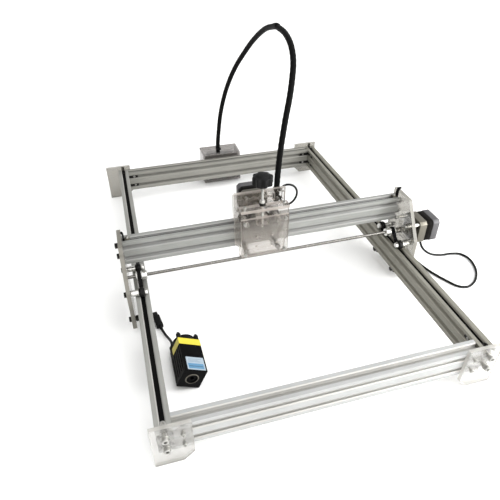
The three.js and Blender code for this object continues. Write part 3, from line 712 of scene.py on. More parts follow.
BEARING_SHIELD = [(2.6, 4.4), (2.6, 4.62), (3.2, 4.62), (3.3, 4.5), (4.3, 4.5), (4.4, 4.62), (5.0, 4.62),
                  (5.0, 4.4)]
bearing = settle(turned(BEARING_SHIELD), "bearing", zinc_steel)
spacer = settle(turned([(2.55, -6), (2.55, 5.3), (4.3, 5.3), (4.7, 4.9), (4.7, -5.6), (4.3, -6)]), "spacer",
                turned_aluminium)
wheel_bolt = model_cap_screw("wheel_bolt", 4.2, 4.0, 2.45, 30.4, black_steel)
nut = start_round(4.4, 3.4, mm(0, 0, 1.7), sides=6)
edit(nut)
bevel(0.45, 2, level_edge)
settle(nut, "nut", turned_aluminium, angle=20)
# The lower wheels' spacers and nuts are copies in black steel: painted shade, for the shade that falls on
# them below the gantry.
painted_shade_nut, painted_shade_spacer = nut.copy(), spacer.copy()
for piece in (painted_shade_nut, painted_shade_spacer):
    piece.data = piece.data.copy()
    piece.data.materials[0] = black_steel
for side, x, inward in (("left", 0, 1), ("right", 450, -1)):
    for place, y in (("front", 234), ("rear", 294)):
        for level, z in (("upper", 5.3), ("lower", -45.3)):
            tag = f"{side}_{place}_{level}"
            wheel_body = f"wheel_{tag}_body"
            coat(f"wheel_{tag}", acetal)
            bolt = fasten(wheel_bolt, f"wheel_bolt_{tag}", at(x - inward * 12.4, y, z), "gantry",
                          (-inward, 0, 0))
            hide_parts(f"axle_{tag}")
            # the lower wheels take the copies painted dark as painted shade
            sleeve, lock_nut = (spacer, nut) if level == "upper" else (painted_shade_spacer, painted_shade_nut)
            fasten(sleeve, f"wheel_spacer_{tag}", at(x, y, z), "gantry", (inward, 0, 0))
            fasten(lock_nut, f"wheel_nut_{tag}", at(x + inward * 14.7, y, z), "gantry", (inward, 0, 0))
            for face, facing in (("inner", inward), ("outer", -inward)):
                fasten(bearing, f"wheel_bearing_{tag}_{face}", at(x + inward * 10, y, z), wheel_body,
                       (facing, 0, 0))


# ---- Cross shaft, pulleys and belt loops ----
# A 5 mm ground steel shaft runs across the machine in front of the gantry beam and through the right
# side plate into the motor. A toothed aluminium pulley is clamped near each end with a grub screw.

# ground steel: bright, with faint rings round it
ground_steel = mottled("ground_steel_shaft", "#666460", "#7d7b77", (260, 90, 90), 2.0, (0.18, 0.34),
                       (0.06, 0.0001), Metallic=1.0)
coat("drive_shaft", ground_steel)


def model_pulley():
    """A 20-tooth pulley with two flanges; it stands on its rim side with its hub and grub screw up."""
    pulley = start_round(6.1, 7.6, mm(0, 0, 0), sides=80)
    edit(pulley)
    shape = bmesh.from_edit_mesh(pulley.data)
    for vertex in shape.verts:
        if round(math.degrees(math.atan2(vertex.co.y, vertex.co.x)) % 360 / 4.5) % 4 in (0, 1):
            vertex.co.xy *= 5.4 / 6.1
    bmesh.update_edit_mesh(pulley.data)
    bpy.ops.object.mode_set(mode="OBJECT")
    rim = turned([(0, 3.7), (7.6, 3.7), (8, 4.0), (8, 4.8), (6.5, 4.8), (6.5, 11.4), (6.1, 11.8), (0, 11.8)])
    bpy.ops.object.mode_set(mode="OBJECT")
    foot = turned([(0, -3.7), (7.6, -3.7), (8, -4.0), (8, -4.8), (0, -4.8)])
    bpy.ops.object.mode_set(mode="OBJECT")
    bpy.ops.object.select_all(action="DESELECT")
    for piece in (pulley, rim, foot):
        piece.select_set(True)
    bpy.context.view_layer.objects.active = pulley
    bpy.ops.object.join()
    edit(pulley)
    bpy.ops.mesh.select_all(action="SELECT")
    bpy.ops.mesh.normals_make_consistent(inside=False)
    return settle(pulley, "pulley", turned_aluminium)


SHAFT_Y, SHAFT_Z = 264, 13  # axis of the cross shaft
pulley = model_pulley()
for side, x, facing in (("left", 10, 1), ("right", 440, -1)):
    piece = copy_to(pulley, f"toothed_pulley_{side}", at(x, SHAFT_Y, SHAFT_Z), "cross_shaft",
                    (facing, 0, 0))
    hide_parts(f"pulley_{side}")
    fasten(screw_m3, f"pulley_grub_{side}", at(x + facing * 8.3, SHAFT_Y, SHAFT_Z + 4.2), "cross_shaft")



# ---- Lengthwise drive motor ----
# A size 17 stepper: a bright cast front cap, black steel laminations and a grey cast rear cap, held by
# long screws. It stands off the right side plate on four turned posts.

# cast aluminium, machined on its faces: satin silver with a slight grain
cast_aluminium = mottled("machined_cast_aluminium", "#5d5a52", "#726f66", 500.0, 4.0, (0.32, 0.55),
                         (0.2, 0.0001), Metallic=0.9)

# cast aluminium as it left the die, painted grey: duller and darker than the front cap
grey_casting = mottled("grey_painted_casting", "#4b4a4b", "#5e5d5f", 380.0, 5.0, (0.42, 0.62),
                       (0.3, 0.00015), Metallic=0.55)

# punched steel sheets stacked and dipped in black varnish: edge lines of the sheets, 0.5 mm each
laminations, shader = start_material("varnished_steel_laminations", Metallic=0.05, Specular_IOR_Level=0.04)
coords = add_node(shader, "ShaderNodeTexCoord", {})
sheets = add_node(shader, "ShaderNodeTexWave", {"Vector": coords.outputs["Object"], "Scale": 300.0},
                  bands_direction="DIAGONAL")
finish(shader, sheets.outputs["Fac"], "#060504", "#110f0d", (0.4, 0.6), (0.25, 0.0002))


def upright(e):
    return abs(e.verts[0].co.x - e.verts[1].co.x) < 1e-6 and abs(e.verts[0].co.y - e.verts[1].co.y) < 1e-6


# where the four screws stand from the motor's axis, in mm
MOTOR_SCREWS = [(-15.5, -15.5), (15.5, -15.5), (15.5, 15.5), (-15.5, 15.5)]


def motor_slab(low, high, corner, half):
    """One layer of the motor, square with cut corners, between two heights over its front face."""
    slab = start_box(mm(-half, -half, low), mm(half, half, high))
    edit(slab)
    bevel(corner, 1, upright)
    return slab


front_cap = motor_slab(0, 13.5, 4.2, 21.15)
pick("faces", lambda f: f.normal.z < -0.9)
bpy.ops.mesh.inset(thickness=0.0101)
draw_out(0, 0, -0.2)
bevel(0.5, 2, lambda e: e.is_manifold and e.calc_face_angle() > 0.6 and middle(e).xy.length > 0.02)
settle(front_cap, "front_cap", cast_aluminium)
stack = motor_slab(13.5, 25.5, 5.4, 20.9)
bevel(0.2, 1)
settle(stack, "stack", laminations)
rear_cap = motor_slab(25.5, 38, 4.6, 21.15)
pick("faces", lambda f: f.normal.z > 0.9)
bpy.ops.mesh.inset(thickness=0.012)
draw_out(0, 0, -1.2)
bevel(1.0, 3, lambda e: e.is_manifold and e.calc_face_angle() > 0.6 and middle(e).xy.length > 0.02)
settle(rear_cap, "rear_cap", grey_casting)
pilot = settle(turned([(0, -1.9), (10.6, -1.9), (11, -1.5), (11, 0), (0, 0)], 36), "pilot", cast_aluminium)
motor_plug = start_box(mm(-7.5, 20.9, 17), mm(7.5, 25.4, 25))
edit(motor_plug)
pick("faces", lambda f: f.normal.y > 0.9)
bpy.ops.mesh.inset(thickness=0.0011)
draw_out(0, -0.9, 0)
bevel(0.35, 1)
settle(motor_plug, "motor_plug", black_plastic)


def place_motor(tag, cad_node, front, direction, turn, body, with_plug):
    """Copies the motor's pieces to their place; turn spins it about its own axis."""
    cap = copy_to(front_cap, f"{tag}_front_cap", front, body, direction, turn)
    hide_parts(cad_node)
    copy_to(stack, f"{tag}_laminations", front, body, direction, turn)
    copy_to(rear_cap, f"{tag}_rear_cap", front, body, direction, turn)
    copy_to(pilot, f"{tag}_pilot", front, body, direction, turn)
    if with_plug:
        copy_to(motor_plug, f"{tag}_socket", front, body, direction, turn)
    lean = Vector((0, 0, 1)).rotation_difference(Vector(direction)).to_matrix()
    for number, (a, b) in enumerate(MOTOR_SCREWS):
        fasten(screw_m3, f"{tag}_screw_{number + 1}", front + lean @ mm(a, b, 36.6), body, direction)


place_motor("y_motor", "y_motor", at(480, SHAFT_Y, SHAFT_Z), (1, 0, 0), -math.pi / 2, "gantry", False)
post = settle(turned([(0, 0), (2.6, 0), (3, 0.4), (3, 16.9), (2.6, 17.3), (0, 17.3)]), "post",
              turned_aluminium)
for number, (y, z) in enumerate(MOTOR_SCREWS):
    fasten(post, f"y_motor_post_{number + 1}", at(462.5, SHAFT_Y + y, SHAFT_Z + z), "gantry", (1, 0, 0))
    fasten(screw_m3, f"y_motor_post_screw_{number + 1}", at(456.2, SHAFT_Y + y, SHAFT_Z + z), "gantry",
           (-1, 0, 0))
discard(post)


# ---- Gantry belt and its ends ----
# A toothed belt lies in the gantry beam's top slot. At each end it turns up round a small aluminium
# block, and its tail stands up, held against the block by a screw.

beam_belt = toothed_belt("toothed_belt_crosswise", ALONG_X)
coat("belt_run_gantry", beam_belt)
coat("belt_loop_carriage", beam_belt)
BLOCK_IN, BLOCK_TOP = 5.4, 67.6  # how far inside the belt's tail its block stands, and its top
for side, x, inward, rise, curl in (("left", -3.4, 1, 10.5, 0.35), ("right", 454.8, -1, 13.5, 1.0)):
    tail = start_box(at(x - 1.1, BEAM_Y - 3, 61.0), at(x + 1.1, BEAM_Y + 3, 66))
    edit(tail)
    pick("faces", lambda f: f.normal.z > 0.9)
    for lean, step in ((0, rise * 0.5), (0.3, rise * 0.3), (2.0, rise * 0.25), (2.8, 1.2)):
        draw_out(-inward * lean * curl, 0, step)
    bevel(0.35, 2)
    settle(tail, f"belt_tail_{side}", beam_belt, "gantry", angle=50)
    block = start_box(at(x + inward * BLOCK_IN - 3.4, BEAM_Y - 3.6, 62.2),
                      at(x + inward * BLOCK_IN + 3.4, BEAM_Y + 3.6, BLOCK_TOP))
    edit(block)
    bevel(0.6, 2)
    settle(block, f"belt_block_{side}", cast_aluminium, "gantry")
    fasten(screw_m3, f"belt_block_screw_{side}", at(x + inward * BLOCK_IN, BEAM_Y, BLOCK_TOP), "gantry",
           turn=0.2)


# ---- Carriage ----
# Two clear acrylic plates, 5 mm, stand on either side of the beam and hold four V wheels between them
# on long screws. A narrow shelf is glued across the front plate for the height screw.

carriage_face = acrylic_sheet("clear_acrylic_carriage", "#a0968b", 0.94, 0.0, 0.02, 0.3)
carriage_edge = acrylic_sheet("laser_cut_carriage_edge", "#b3aaa2", 0.55, 0.3, 0.5, 0.75, stripe=CUT_RIDGES)
coat_sheet("carriage_plate_front", ALONG_Y, carriage_face, carriage_edge)
coat_sheet("carriage_plate_back", ALONG_Y, carriage_face, carriage_edge)
coat_sheet("screw_shelf", ALONG_Z, carriage_face, carriage_edge)

CARRIAGE_X, DRIVE_Z = 208.5, 79  # middle of the carriage and height of its motor's axis
carriage_bolt = model_cap_screw("carriage_bolt", 4.2, 4.0, 2.45, 46, zinc_steel)
long_spacer = settle(turned([(2.55, 0.1), (2.55, 11.5), (3.6, 11.5), (4.0, 11.1), (4.0, 0.5), (3.6, 0.1)]),
                     "long_spacer", turned_aluminium)
for side, x in (("left", CARRIAGE_X - 26), ("right", CARRIAGE_X + 26)):
    for level, z in (("upper", 71.3), ("lower", 20.7)):
        tag = f"{side}_{level}"
        wheel_body = f"carriage_wheel_{tag}_body"
        coat(f"carriage_wheel_{tag}", acetal)
        fasten(carriage_bolt, f"carriage_bolt_{tag}", at(x, 269.7, z), "carriage", (0, -1, 0))
        fasten(long_spacer, f"carriage_spacer_front_{tag}", at(x, 274.8, z), "carriage", (0, 1, 0))
        fasten(long_spacer, f"carriage_spacer_back_{tag}", at(x, 307.2, z), "carriage", (0, -1, 0))
        fasten(nut, f"carriage_nut_{tag}", at(x, 312.3, z), "carriage", (0, 1, 0))
        for face, facing in (("front", -1), ("back", 1)):
            fasten(bearing, f"carriage_bearing_{tag}_{face}", at(x, BEAM_Y, z), wheel_body, (0, facing, 0))

# crosswise drive motor, the same stepper, screwed to the back plate with its pulley over the belt
place_motor("x_motor", "x_motor", at(CARRIAGE_X, 312.3, DRIVE_Z), (0, 1, 0), -math.pi / 2, "carriage", True)
piece = copy_to(pulley, "toothed_pulley_crosswise", at(CARRIAGE_X, BEAM_Y, DRIVE_Z), "x_drive",
                (0, -1, 0))
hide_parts("x_pulley")
motor_shaft = start_round(2.5, 21, at(CARRIAGE_X, 305, DRIVE_Z), "y")
edit(motor_shaft)
bevel(0.4, 2)
settle(motor_shaft, "crosswise_motor_shaft", ground_steel, "x_drive")
for number, (a, b) in enumerate(MOTOR_SCREWS):
    fasten(screw_m3, f"x_motor_plate_screw_{number + 1}", at(CARRIAGE_X + a, 307.2, DRIVE_Z + b), "carriage",
           (0, -1, 0))


# ---- Height adjuster ----
# The laser's mounting plate slides in front of the carriage on a threaded rod, which passes a brass
# nut on the shelf and ends in a moulded star knob that is turned by hand.

coat_sheet("laser_mount_plate", ALONG_Y, carriage_face, carriage_edge)

ROD_X, ROD_Y = 206.5, 265  # axis of the height screw
thread = [(0, 66)]
for turn_number in range(96):
    height = 66 + turn_number * 0.75
    thread += [(1.72, height), (2.0, height + 0.3), (2.0, height + 0.42)]
thread += [(1.72, 138), (0, 138)]
rod = settle(turned(thread, 16), "height_rod", zinc_steel, angle=20)
fasten(rod, "height_rod_threaded", at(ROD_X, ROD_Y, 0), "knob")
discard(rod)

knob = turned([(0, 137), (7.4, 137), (8, 137.6), (8, 141), (13.2, 141), (14.4, 141.9), (14.8, 143.2),
               (14.8, 152.4), (14.4, 153.8), (13.2, 154.6), (11.2, 154.8), (10.2, 155.2), (8.2, 157.1),
               (7.4, 157.5), (0, 157.5)], 96)
shape = bmesh.from_edit_mesh(knob.data)
for vertex in shape.verts:
    reach = vertex.co.xy.length * 1000
    if reach > 11.5:
        lobe = 1.4 * math.cos(8 * math.atan2(vertex.co.y, vertex.co.x)) * (reach - 11.5) / 3.3
        vertex.co.xy *= (reach + lobe - 0.2) / reach
bmesh.update_edit_mesh(knob.data)
bpy.ops.object.mode_set(mode="OBJECT")
knob.data.transform(Matrix.Translation(at(ROD_X, ROD_Y, 0)))
settle(knob, "star_knob", black_plastic, "knob")
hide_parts("height_knob")

shelf_nut = start_round(5.2, 4.6, at(ROD_X, ROD_Y, 107.4), sides=6)
edit(shelf_nut)
bevel(0.5, 2, level_edge)
settle(shelf_nut, "shelf_nut", black_steel, "carriage", angle=20)
shelf_collar = settle(turned([(2.2, 0), (4.2, 0), (4.2, 3.2), (3.8, 3.6), (2.2, 3.6)]), "shelf_collar_master",
                      turned_aluminium)
fasten(shelf_collar, "shelf_collar", at(ROD_X, ROD_Y, 109.8), "carriage")
discard(shelf_collar)
for number, x in enumerate((178, 240)):
    fasten(screw_m3, f"shelf_screw_{number + 1}", at(x, 262, 105), "carriage")
for number, (x, z) in enumerate([(176.5, 24), (241.5, 24), (176.5, 82), (241.5, 82)]):
    fasten(screw_m3, f"height_plate_screw_{number + 1}", at(x, 255.4, z), "height_plate", (0, -1, 0),
           turn=0.4 * number)


# ---- Laser head ----
# A finned block of black anodised aluminium with a turned focus ring in its front bore and a small
# fan on its back, lying unmounted on the table. A yellow tape band and a plain label are stuck on it.

# black anodised aluminium, milled: even black with a soft sheen and fine cutter lines
black_anodised = mottled("black_anodised_aluminium", "#030303", "#0a0a0b", (900, 12, 900), 3.0, (0.34, 0.5),
                         (0.1, 0.0001), 0.0005, Metallic=0.05, Specular_IOR_Level=0.04)
coat("laser_body", black_anodised)
coat("laser_lens_ring", black_anodised)
coat("laser_fan_frame", black_plastic)
coat("laser_fan_rotor", black_plastic)

LASER_ROLL = math.radians(25.3)
LASER_SIDE = 33  # the head is square
laser_turn = Matrix.Rotation(LASER_ROLL, 3, "Y")
laser_corner = at(34.7, 93.2, -63.7 + LASER_SIDE * math.sin(LASER_ROLL))


def on_laser(x, y, z):
    """A point in mm across, along and up the laser head from its lower left front corner."""
    return laser_corner + laser_turn @ mm(x, y, z)


def roll_with_laser(piece):
    """Moves a piece modelled about the origin in the head's own directions to its place on the head."""
    if bpy.context.object and bpy.context.object.mode == "EDIT":
        bpy.ops.object.mode_set(mode="OBJECT")
    piece.data.transform(Matrix.Translation(laser_corner) @ laser_turn.to_4x4())
    return piece


def printed_vinyl(name, dark, light):
    """Printed vinyl film: an even colour with a slight unevenness of ink, satin, a little wavy."""
    return mottled(name, dark, light, 240.0, 3.0, (0.3, 0.45), (0.08, 0.0002), IOR=1.5)


band = start_box(mm(-0.05, 47.8, 9), mm(33.05, 59.3, 33.05))
edit(band)
pick("faces", lambda f: abs(f.normal.y) > 0.9 or f.normal.z < -0.9)
bpy.ops.mesh.delete(type="FACE")
bpy.ops.object.mode_set(mode="OBJECT")
wrap = band.modifiers.new("wrap", "SOLIDIFY")
wrap.thickness = 0.00025
wrap.offset = 1
bpy.ops.object.modifier_apply(modifier="wrap")
edit(band)
bpy.ops.mesh.select_all(action="SELECT")
bpy.ops.mesh.normals_make_consistent(inside=False)
roll_with_laser(band)
settle(band, "laser_warning_band_plain", printed_vinyl("yellow_vinyl_tape", "#b5a626", "#c9bb3e"), "laser")

label = start_box(mm(4.8, 1.4, LASER_SIDE), mm(30.8, 23.8, LASER_SIDE + 0.2))
edit(label)
bevel(1.0, 2, upright)
roll_with_laser(label)
settle(label, "laser_label", printed_vinyl("white_vinyl_label", "#86939e", "#95a2ac"), "laser")
blue_ink = printed_vinyl("blue_label_ink", "#3c6b8a", "#4d7d9d")
grey_ink = printed_vinyl("grey_label_ink", "#64747f", "#74838d")
dark_ink = printed_vinyl("dark_label_ink", "#223f54", "#2b4c64")
for tag, ink, x0, x1, y0, y1 in [("blue_field", blue_ink, 6.5, 29.0, 3.6, 12.4),
                                 ("bar_1", dark_ink, 7.4, 28.2, 7.0, 8.2),
                                 ("bar_2", grey_ink, 7.5, 25.5, 15.4, 16.2),
                                 ("bar_3", grey_ink, 7.5, 22.0, 17.6, 18.4),
                                 ("bar_4", grey_ink, 7.5, 27.5, 19.8, 20.6)]:
    mark = start_box(mm(x0, y0, 33.15), mm(x1, y1, 33.26 if tag != "bar_1" else 33.32))
    edit(mark)
    bevel(0.3, 1, upright)
    roll_with_laser(mark)
    settle(mark, f"laser_label_{tag}", ink, "laser")

# the bore's lip, chamfered outwards, which catches the light along its upper edge
bore_ring = settle(turned([(8.0, -0.7), (8.25, -0.7), (9.5, 0.02), (9.5, 0.4), (8.0, 0.4)], 48), "bore_ring",
                   cast_aluminium)
copy_to(bore_ring, "laser_bore_ring", on_laser(LASER_SIDE / 2, 0, LASER_SIDE / 2), "laser",
        (0, 1, 0))
discard(bore_ring)

# the fan's moulded frame: a round duct with a screw post at each corner, and four struts behind that
# carry the motor's round seat
duct = settle(turned([(14.2, 0), (14.2, 8.8), (15.7, 8.8), (16.4, 8.1), (16.4, 6.6), (15.6, 6.2), (15.6, 2.8),
                      (16.4, 2.4), (16.4, 0.6), (15.9, 0)], 48), "duct", black_plastic)
FAN_SEAT = on_laser(LASER_SIDE / 2, 60.15, LASER_SIDE / 2)
fan_duct = copy_to(duct, "fan_duct", FAN_SEAT, "laser",
                   laser_turn @ Vector((0, 1, 0)))
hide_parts("laser_fan_frame")
SEAT_SECTION = [(0, 7.4), (7.2, 7.4), (7.6, 7.8), (7.6, 8.6), (7.2, 9.0), (6.2, 9.0), (6.0, 8.8), (0, 8.8)]
seat = settle(turned(SEAT_SECTION, 32), "seat", black_plastic)
copy_to(seat, "fan_motor_seat", FAN_SEAT, "laser", (0, 1, 0))
strut = start_box(mm(6.8, -0.9, 7.6), mm(14.9, 0.9, 8.7))
edit(strut)
bevel(0.3, 1)
settle(strut, "strut", black_plastic)
for number in range(4):
    copy_to(strut, f"fan_strut_{number + 1}", FAN_SEAT, "laser", (0, 1, 0),
            turn=LASER_ROLL + math.radians(45 + 90 * number))
discard(duct, seat, strut)
# the four corners of the fan, in mm across and up the head
FAN_CORNERS = [(3.0, 3.0), (30.0, 3.0), (30.0, 30.0), (3.0, 30.0)]
fan_screw = model_cap_screw("fan_screw", 2.3, 2.4, 1.3, 6, black_steel)
for number, (x, z) in enumerate(FAN_CORNERS):
    fasten(fan_screw, f"fan_screw_{number + 1}", on_laser(x, 69.1, z), "laser", (0, 1, 0))
fan_post = settle(turned([(0, 0), (3.2, 0), (3.5, 0.3), (3.5, 8.6), (3.2, 8.9), (0, 8.9)]), "fan_post",
                  black_plastic)
for number, (x, z) in enumerate(FAN_CORNERS):
    copy_to(fan_post, f"fan_corner_post_{number + 1}", on_laser(x, 60.0, z), "laser",
            (0, 1, 0))
discard(fan_screw, fan_post)


# ---- Cable harness and leads ----
# The harness is a bundle in a black braided sleeve from the controller over a high arch to the carriage; the
# others are plain round cables in a PVC jacket.

def smooth_path(points, per_span=14):
    """The smooth line through the points, the same one that the solids follow."""
    knots = [at(*p) for p in points]
    knots = [2 * knots[0] - knots[1]] + knots + [2 * knots[-1] - knots[-2]]
    line = []
    for i in range(1, len(knots) - 2):
        a, b, c, d = knots[i - 1:i + 3]
        s = [0.0]
        for p, q in ((a, b), (b, c), (c, d)):
            s.append(s[-1] + max((q - p).length ** 0.5, 1e-6))
        for step in range(per_span):
            t = s[1] + (s[2] - s[1]) * step / per_span
            ab = a.lerp(b, (t - s[0]) / (s[1] - s[0]))
            bc = b.lerp(c, (t - s[1]) / (s[2] - s[1]))
            cd = c.lerp(d, (t - s[2]) / (s[3] - s[2]))
            line.append(ab.lerp(bc, (t - s[0]) / (s[2] - s[0])).lerp(
                bc.lerp(cd, (t - s[1]) / (s[3] - s[1])), (t - s[1]) / (s[2] - s[1])))
    return line + [knots[-2]]


def lay_cable(name, line, radius, sides=16, ridge=0.0, pitch=9.0):
    """A round cable along a line, with a pattern map in mm: round it and along it. ridge raises a
    winding round the cable, as on a spiral sleeve."""
    shape = bmesh.new()
    pattern = shape.loops.layers.uv.new("along")
    rings, lengths, gone = [], [], 0.0
    side = Vector((1, 0, 0))
    for i, point in enumerate(line):
        heading = (line[min(i + 1, len(line) - 1)] - line[max(i - 1, 0)]).normalized()
        side = (side - heading * side.dot(heading)).normalized()
        over = heading.cross(side)
        gone += (point - line[i - 1]).length if i else 0.0
        ring = []
        for k in range(sides):
            turn = 2 * math.pi * k / sides
            swell = 1 + ridge * math.cos(turn - 2 * math.pi * gone * 1000 / pitch)
            ring.append(shape.verts.new(point + (side * math.cos(turn) + over * math.sin(turn))
                                        * radius / 1000 * swell))
        rings.append(ring)
        lengths.append(gone * 1000)
    for i in range(len(rings) - 1):
        for k in range(sides):
            face = shape.faces.new((rings[i][k], rings[i][(k + 1) % sides], rings[i + 1][(k + 1) % sides],
                                    rings[i + 1][k]))
            face.smooth = True
            for loop, (u, v) in zip(face.loops, ((k, i), (k + 1, i), (k + 1, i + 1), (k, i + 1))):
                loop[pattern].uv = (u / sides * 2 * math.pi * radius, lengths[v])
    shape.faces.new(list(reversed(rings[0])))
    shape.faces.new(rings[-1])
    mesh = bpy.data.meshes.new(name)
    shape.to_mesh(mesh)
    shape.free()
    piece = bpy.data.objects.new(name, mesh)
    bpy.context.scene.collection.objects.link(piece)
    return piece


# braided polyester sleeve: matt black crossing strands 1.6 mm wide, pale where light grazes them
braid, shader = start_material("braided_polyester_sleeve", IOR=1.5, Specular_IOR_Level=0.04,
                               Sheen_Weight=0.01, Sheen_Roughness=0.5)
mapped = add_node(shader, "ShaderNodeUVMap", {}, uv_map="along")
strands = []
for lean in (math.radians(38), math.radians(-38)):
    turned_map = add_node(shader, "ShaderNodeMapping",
                          {"Vector": mapped.outputs["UV"], "Rotation": (0, 0, lean)})
    strands.append(add_node(shader, "ShaderNodeTexWave",
                            {"Vector": turned_map.outputs["Vector"], "Scale": 0.2}))
crossed = add_node(shader, "ShaderNodeMath", {0: strands[0].outputs["Fac"], 1: strands[1].outputs["Fac"]},
                   operation="MAXIMUM")
finish(shader, crossed.outputs[0], "#020202", "#0b0b0b", (0.7, 0.45), (0.5, 0.0003))

# PVC jacket, extruded: black and smooth, with the slow lengthwise waver of the cores inside
pvc_jacket, shader = start_material("extruded_pvc_jacket", IOR=1.53, Specular_IOR_Level=0.15)
mapped = add_node(shader, "ShaderNodeUVMap", {}, uv_map="along")
drawn = add_node(shader, "ShaderNodeMapping", {"Vector": mapped.outputs["UV"], "Scale": (0.8, 0.08, 1)})
waver = add_node(shader, "ShaderNodeTexNoise",
                 {"Vector": drawn.outputs["Vector"], "Scale": 1.0, "Detail": 3.0})
finish(shader, waver.outputs["Fac"], "#040404", "#0d0d0d", (0.32, 0.5), (0.2, 0.0003))


HARNESS_REAR = [(223.5, 660, 9.4), (223.7, 659.5, 31), (226, 656.5, 59), (230.3, 650, 100),
                (237.5, 638, 142.7), (245, 622, 177.7), (254, 600, 212), (263, 573, 242), (272, 537, 274),
                (278.5, 490, 301), (281, 445, 314)]
HARNESS_FRONT = [(281, 441.5, 314.8), (280.5, 398, 313.5), (277.5, 362, 304.5), (272.5, 337, 289),
                 (265, 319, 269), (258, 307, 249), (250.5, 298.5, 224), (243.5, 291.5, 193),
                 (239, 287.5, 165), (236.5, 285.5, 140), (235.5, 285, 119), (235.2, 285, 97)]
Y_MOTOR_CABLE = [(504, 264, -8.6), (504, 264, -20), (507, 257, -32), (521, 251, -43.5), (547, 252, -53),
                 (573, 257, -59), (592, 254, -61.6), (599, 240, -61.8), (595, 216, -61.8),
                 (584, 195, -61.8), (566, 177.5, -61.8), (548, 170.5, -61.8), (534, 176, -61.8),
                 (522, 196, -61.8), (511.5, 219.5, -61.8), (504.5, 243, -61.8), (500, 272, -61.8),
                 (497, 320, -61.8), (492, 400, -61.8), (486, 480, -61.8), (480, 560, -61.8),
                 (473, 630, -61.8), (460, 672, -61.8), (430, 692, -61.8), (385, 696, -61.8),
                 (340, 690, -60), (305, 682, -52), (286, 678, -44), (272.5, 678, -42)]
X_MOTOR_CABLE = [(238.5, 279.5, 118), (241.5, 279, 122.5), (247.5, 278.5, 126), (255, 278, 125.5),
                 (262, 278, 121), (266, 278, 113.5), (266, 278, 105), (262, 278, 97), (256, 279.5, 91),
                 (251.5, 284, 88), (249.5, 291, 86.5), (249.5, 301, 85), (249.5, 312, 83),
                 (247.5, 322, 80.5), (240.5, 329, 79), (230.2, 331, 79)]
LASER_LEAD = [(40.5, 163.5, -46), (39.8, 171, -47.5), (38.4, 181, -52), (36.2, 191.5, -57),
              (33.4, 201.5, -60), (30.7, 211, -60.4), (28.1, 220.6, -60.4)]

line = smooth_path(HARNESS_REAR)
harness = lay_cable("harness_sleeve_rear", line, 4.5, 20, ridge=0.03)
harness.data.materials.append(braid)
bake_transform(harness)
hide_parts("harness_rear")

line = smooth_path(HARNESS_FRONT)
harness = lay_cable("harness_sleeve_front", line, 4.5, 20, ridge=0.03)
harness.data.materials.append(braid)
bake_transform(harness)
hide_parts("harness_front")

line = smooth_path(Y_MOTOR_CABLE)
cable = lay_cable("lengthwise_motor_cable", line, 2.1, 12)
cable.data.materials.append(pvc_jacket)
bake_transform(cable)
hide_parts("y_motor_cable")

line = smooth_path(X_MOTOR_CABLE)
cable = lay_cable("crosswise_motor_cable", line, 1.6, 12)
cable.data.materials.append(pvc_jacket)
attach(cable, "carriage")
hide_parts("x_motor_cable")

# the laser's plug: a moulded shell with finger grooves, a stepped nose and a ribbed strain relief
PLUG_TURN = 0.15
plug = start_box(mm(-5.6, 0, 0.3), mm(5.6, 24, 7.3))
edit(plug)
pick("faces", lambda f: f.normal.y > 0.9)
bpy.ops.mesh.inset(thickness=0.0015)
draw_out(0, 9, 0)
for step in range(4):
    bpy.ops.mesh.select_all(action="SELECT")
    bpy.ops.mesh.bisect(plane_co=mm(0, 5 + step * 4, 0), plane_no=(0, 1, 0))
pick("faces", lambda f: abs(f.normal.x) > 0.9 and round(middle(f).y * 1000) in (7, 15))
bpy.ops.mesh.inset(thickness=0.0005, depth=-0.0006, use_individual=True)
bevel(1.6, 4, lambda e: e.is_manifold and e.calc_face_angle() > 1.2 and abs(middle(e).x) > 0.003)
bpy.ops.object.mode_set(mode="OBJECT")
plug.data.transform(Matrix.Translation(at(28, 221, -64)) @ Matrix.Rotation(PLUG_TURN, 4, "Z"))
settle(plug, "laser_plug_shell", black_plastic, "laser")
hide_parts("laser_plug")
line = smooth_path(LASER_LEAD)
relief_way = line[-1] - line[-6]
RELIEF_SECTION = [(0, 0), (2.9, 0), (2.8, 2.2), (2.3, 2.4), (2.7, 3.6), (2.1, 3.9), (2.4, 5.2), (1.9, 5.5),
                  (1.9, 7.5), (0, 7.5)]
relief = settle(turned(RELIEF_SECTION), "relief", black_plastic)
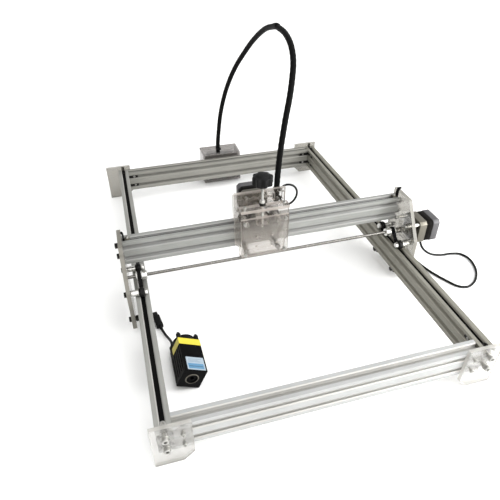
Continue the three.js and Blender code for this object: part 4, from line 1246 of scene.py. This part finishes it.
plug_relief = copy_to(relief, "laser_plug_relief", line[-1] + relief_way.normalized() * 0.0006, "laser",
                      -relief_way)
fan_relief = copy_to(relief, "laser_lead_relief", line[0] - (line[1] - line[0]).normalized() * 0.001, "laser",
                     line[4] - line[0])
discard(relief)
lead = lay_cable("laser_lead_cable", line, 2.1, 12)
lead.data.materials.append(pvc_jacket)
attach(lead, "laser")
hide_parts("laser_lead")

# fabric tape wound round the harness where its two sleeves meet at the top of the arch
tape_line = smooth_path([(280.9, 451.5, 312.6), (281, 445, 314), (281, 441.5, 314.8), (280.95, 434.5, 315.2)])
joint = lay_cable("harness_joint_tape", tape_line, 4.95, 20)
joint.data.materials.append(braid)
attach(joint, "gantry")

# nylon cable ties round the harness, each with its ratchet head
nylon, shader = start_material("moulded_black_nylon", IOR=1.53, Specular_IOR_Level=0.15)
coords = add_node(shader, "ShaderNodeTexCoord", {})
ribs = add_node(shader, "ShaderNodeTexWave", {"Vector": coords.outputs["Object"], "Scale": 260.0},
                bands_direction="X")
finish(shader, ribs.outputs["Fac"], "#050505", "#0f0f0f", relief=(0.3, 0.0002))
shader.inputs["Roughness"].default_value = 0.42
tie_band = settle(turned([(4.5, -1.3), (4.5, 1.3), (5.3, 1.3), (5.5, 1.0), (5.5, -1.0), (5.3, -1.3)], 36),
                  "tie_band", nylon)
tie_head = start_box(mm(-2.4, -8.6, -2.1), mm(2.4, -5.0, 2.1))
edit(tie_head)
bevel(0.6, 2)
settle(tie_head, "tie_head", nylon)
for tag, place, body, turn in [("carriage_upper", at(235.5, 285, 119), "carriage", 0.6),
                               ("carriage_lower", at(235.3, 285, 104), "carriage", 0.9),
                               ("controller", at(223.55, 659.8, 19), "frame", 0.4)]:
    copy_to(tie_band, f"tie_band_{tag}", place, body, turn=turn)
    copy_to(tie_head, f"tie_head_{tag}", place, body, turn=turn)
discard(tie_band, tie_head)

discard(screw_m5, washer_m5, screw_m3, bearing, spacer, wheel_bolt, nut, pulley, front_cap, stack, rear_cap,
        pilot, motor_plug, carriage_bolt, long_spacer, painted_shade_nut, painted_shade_spacer)
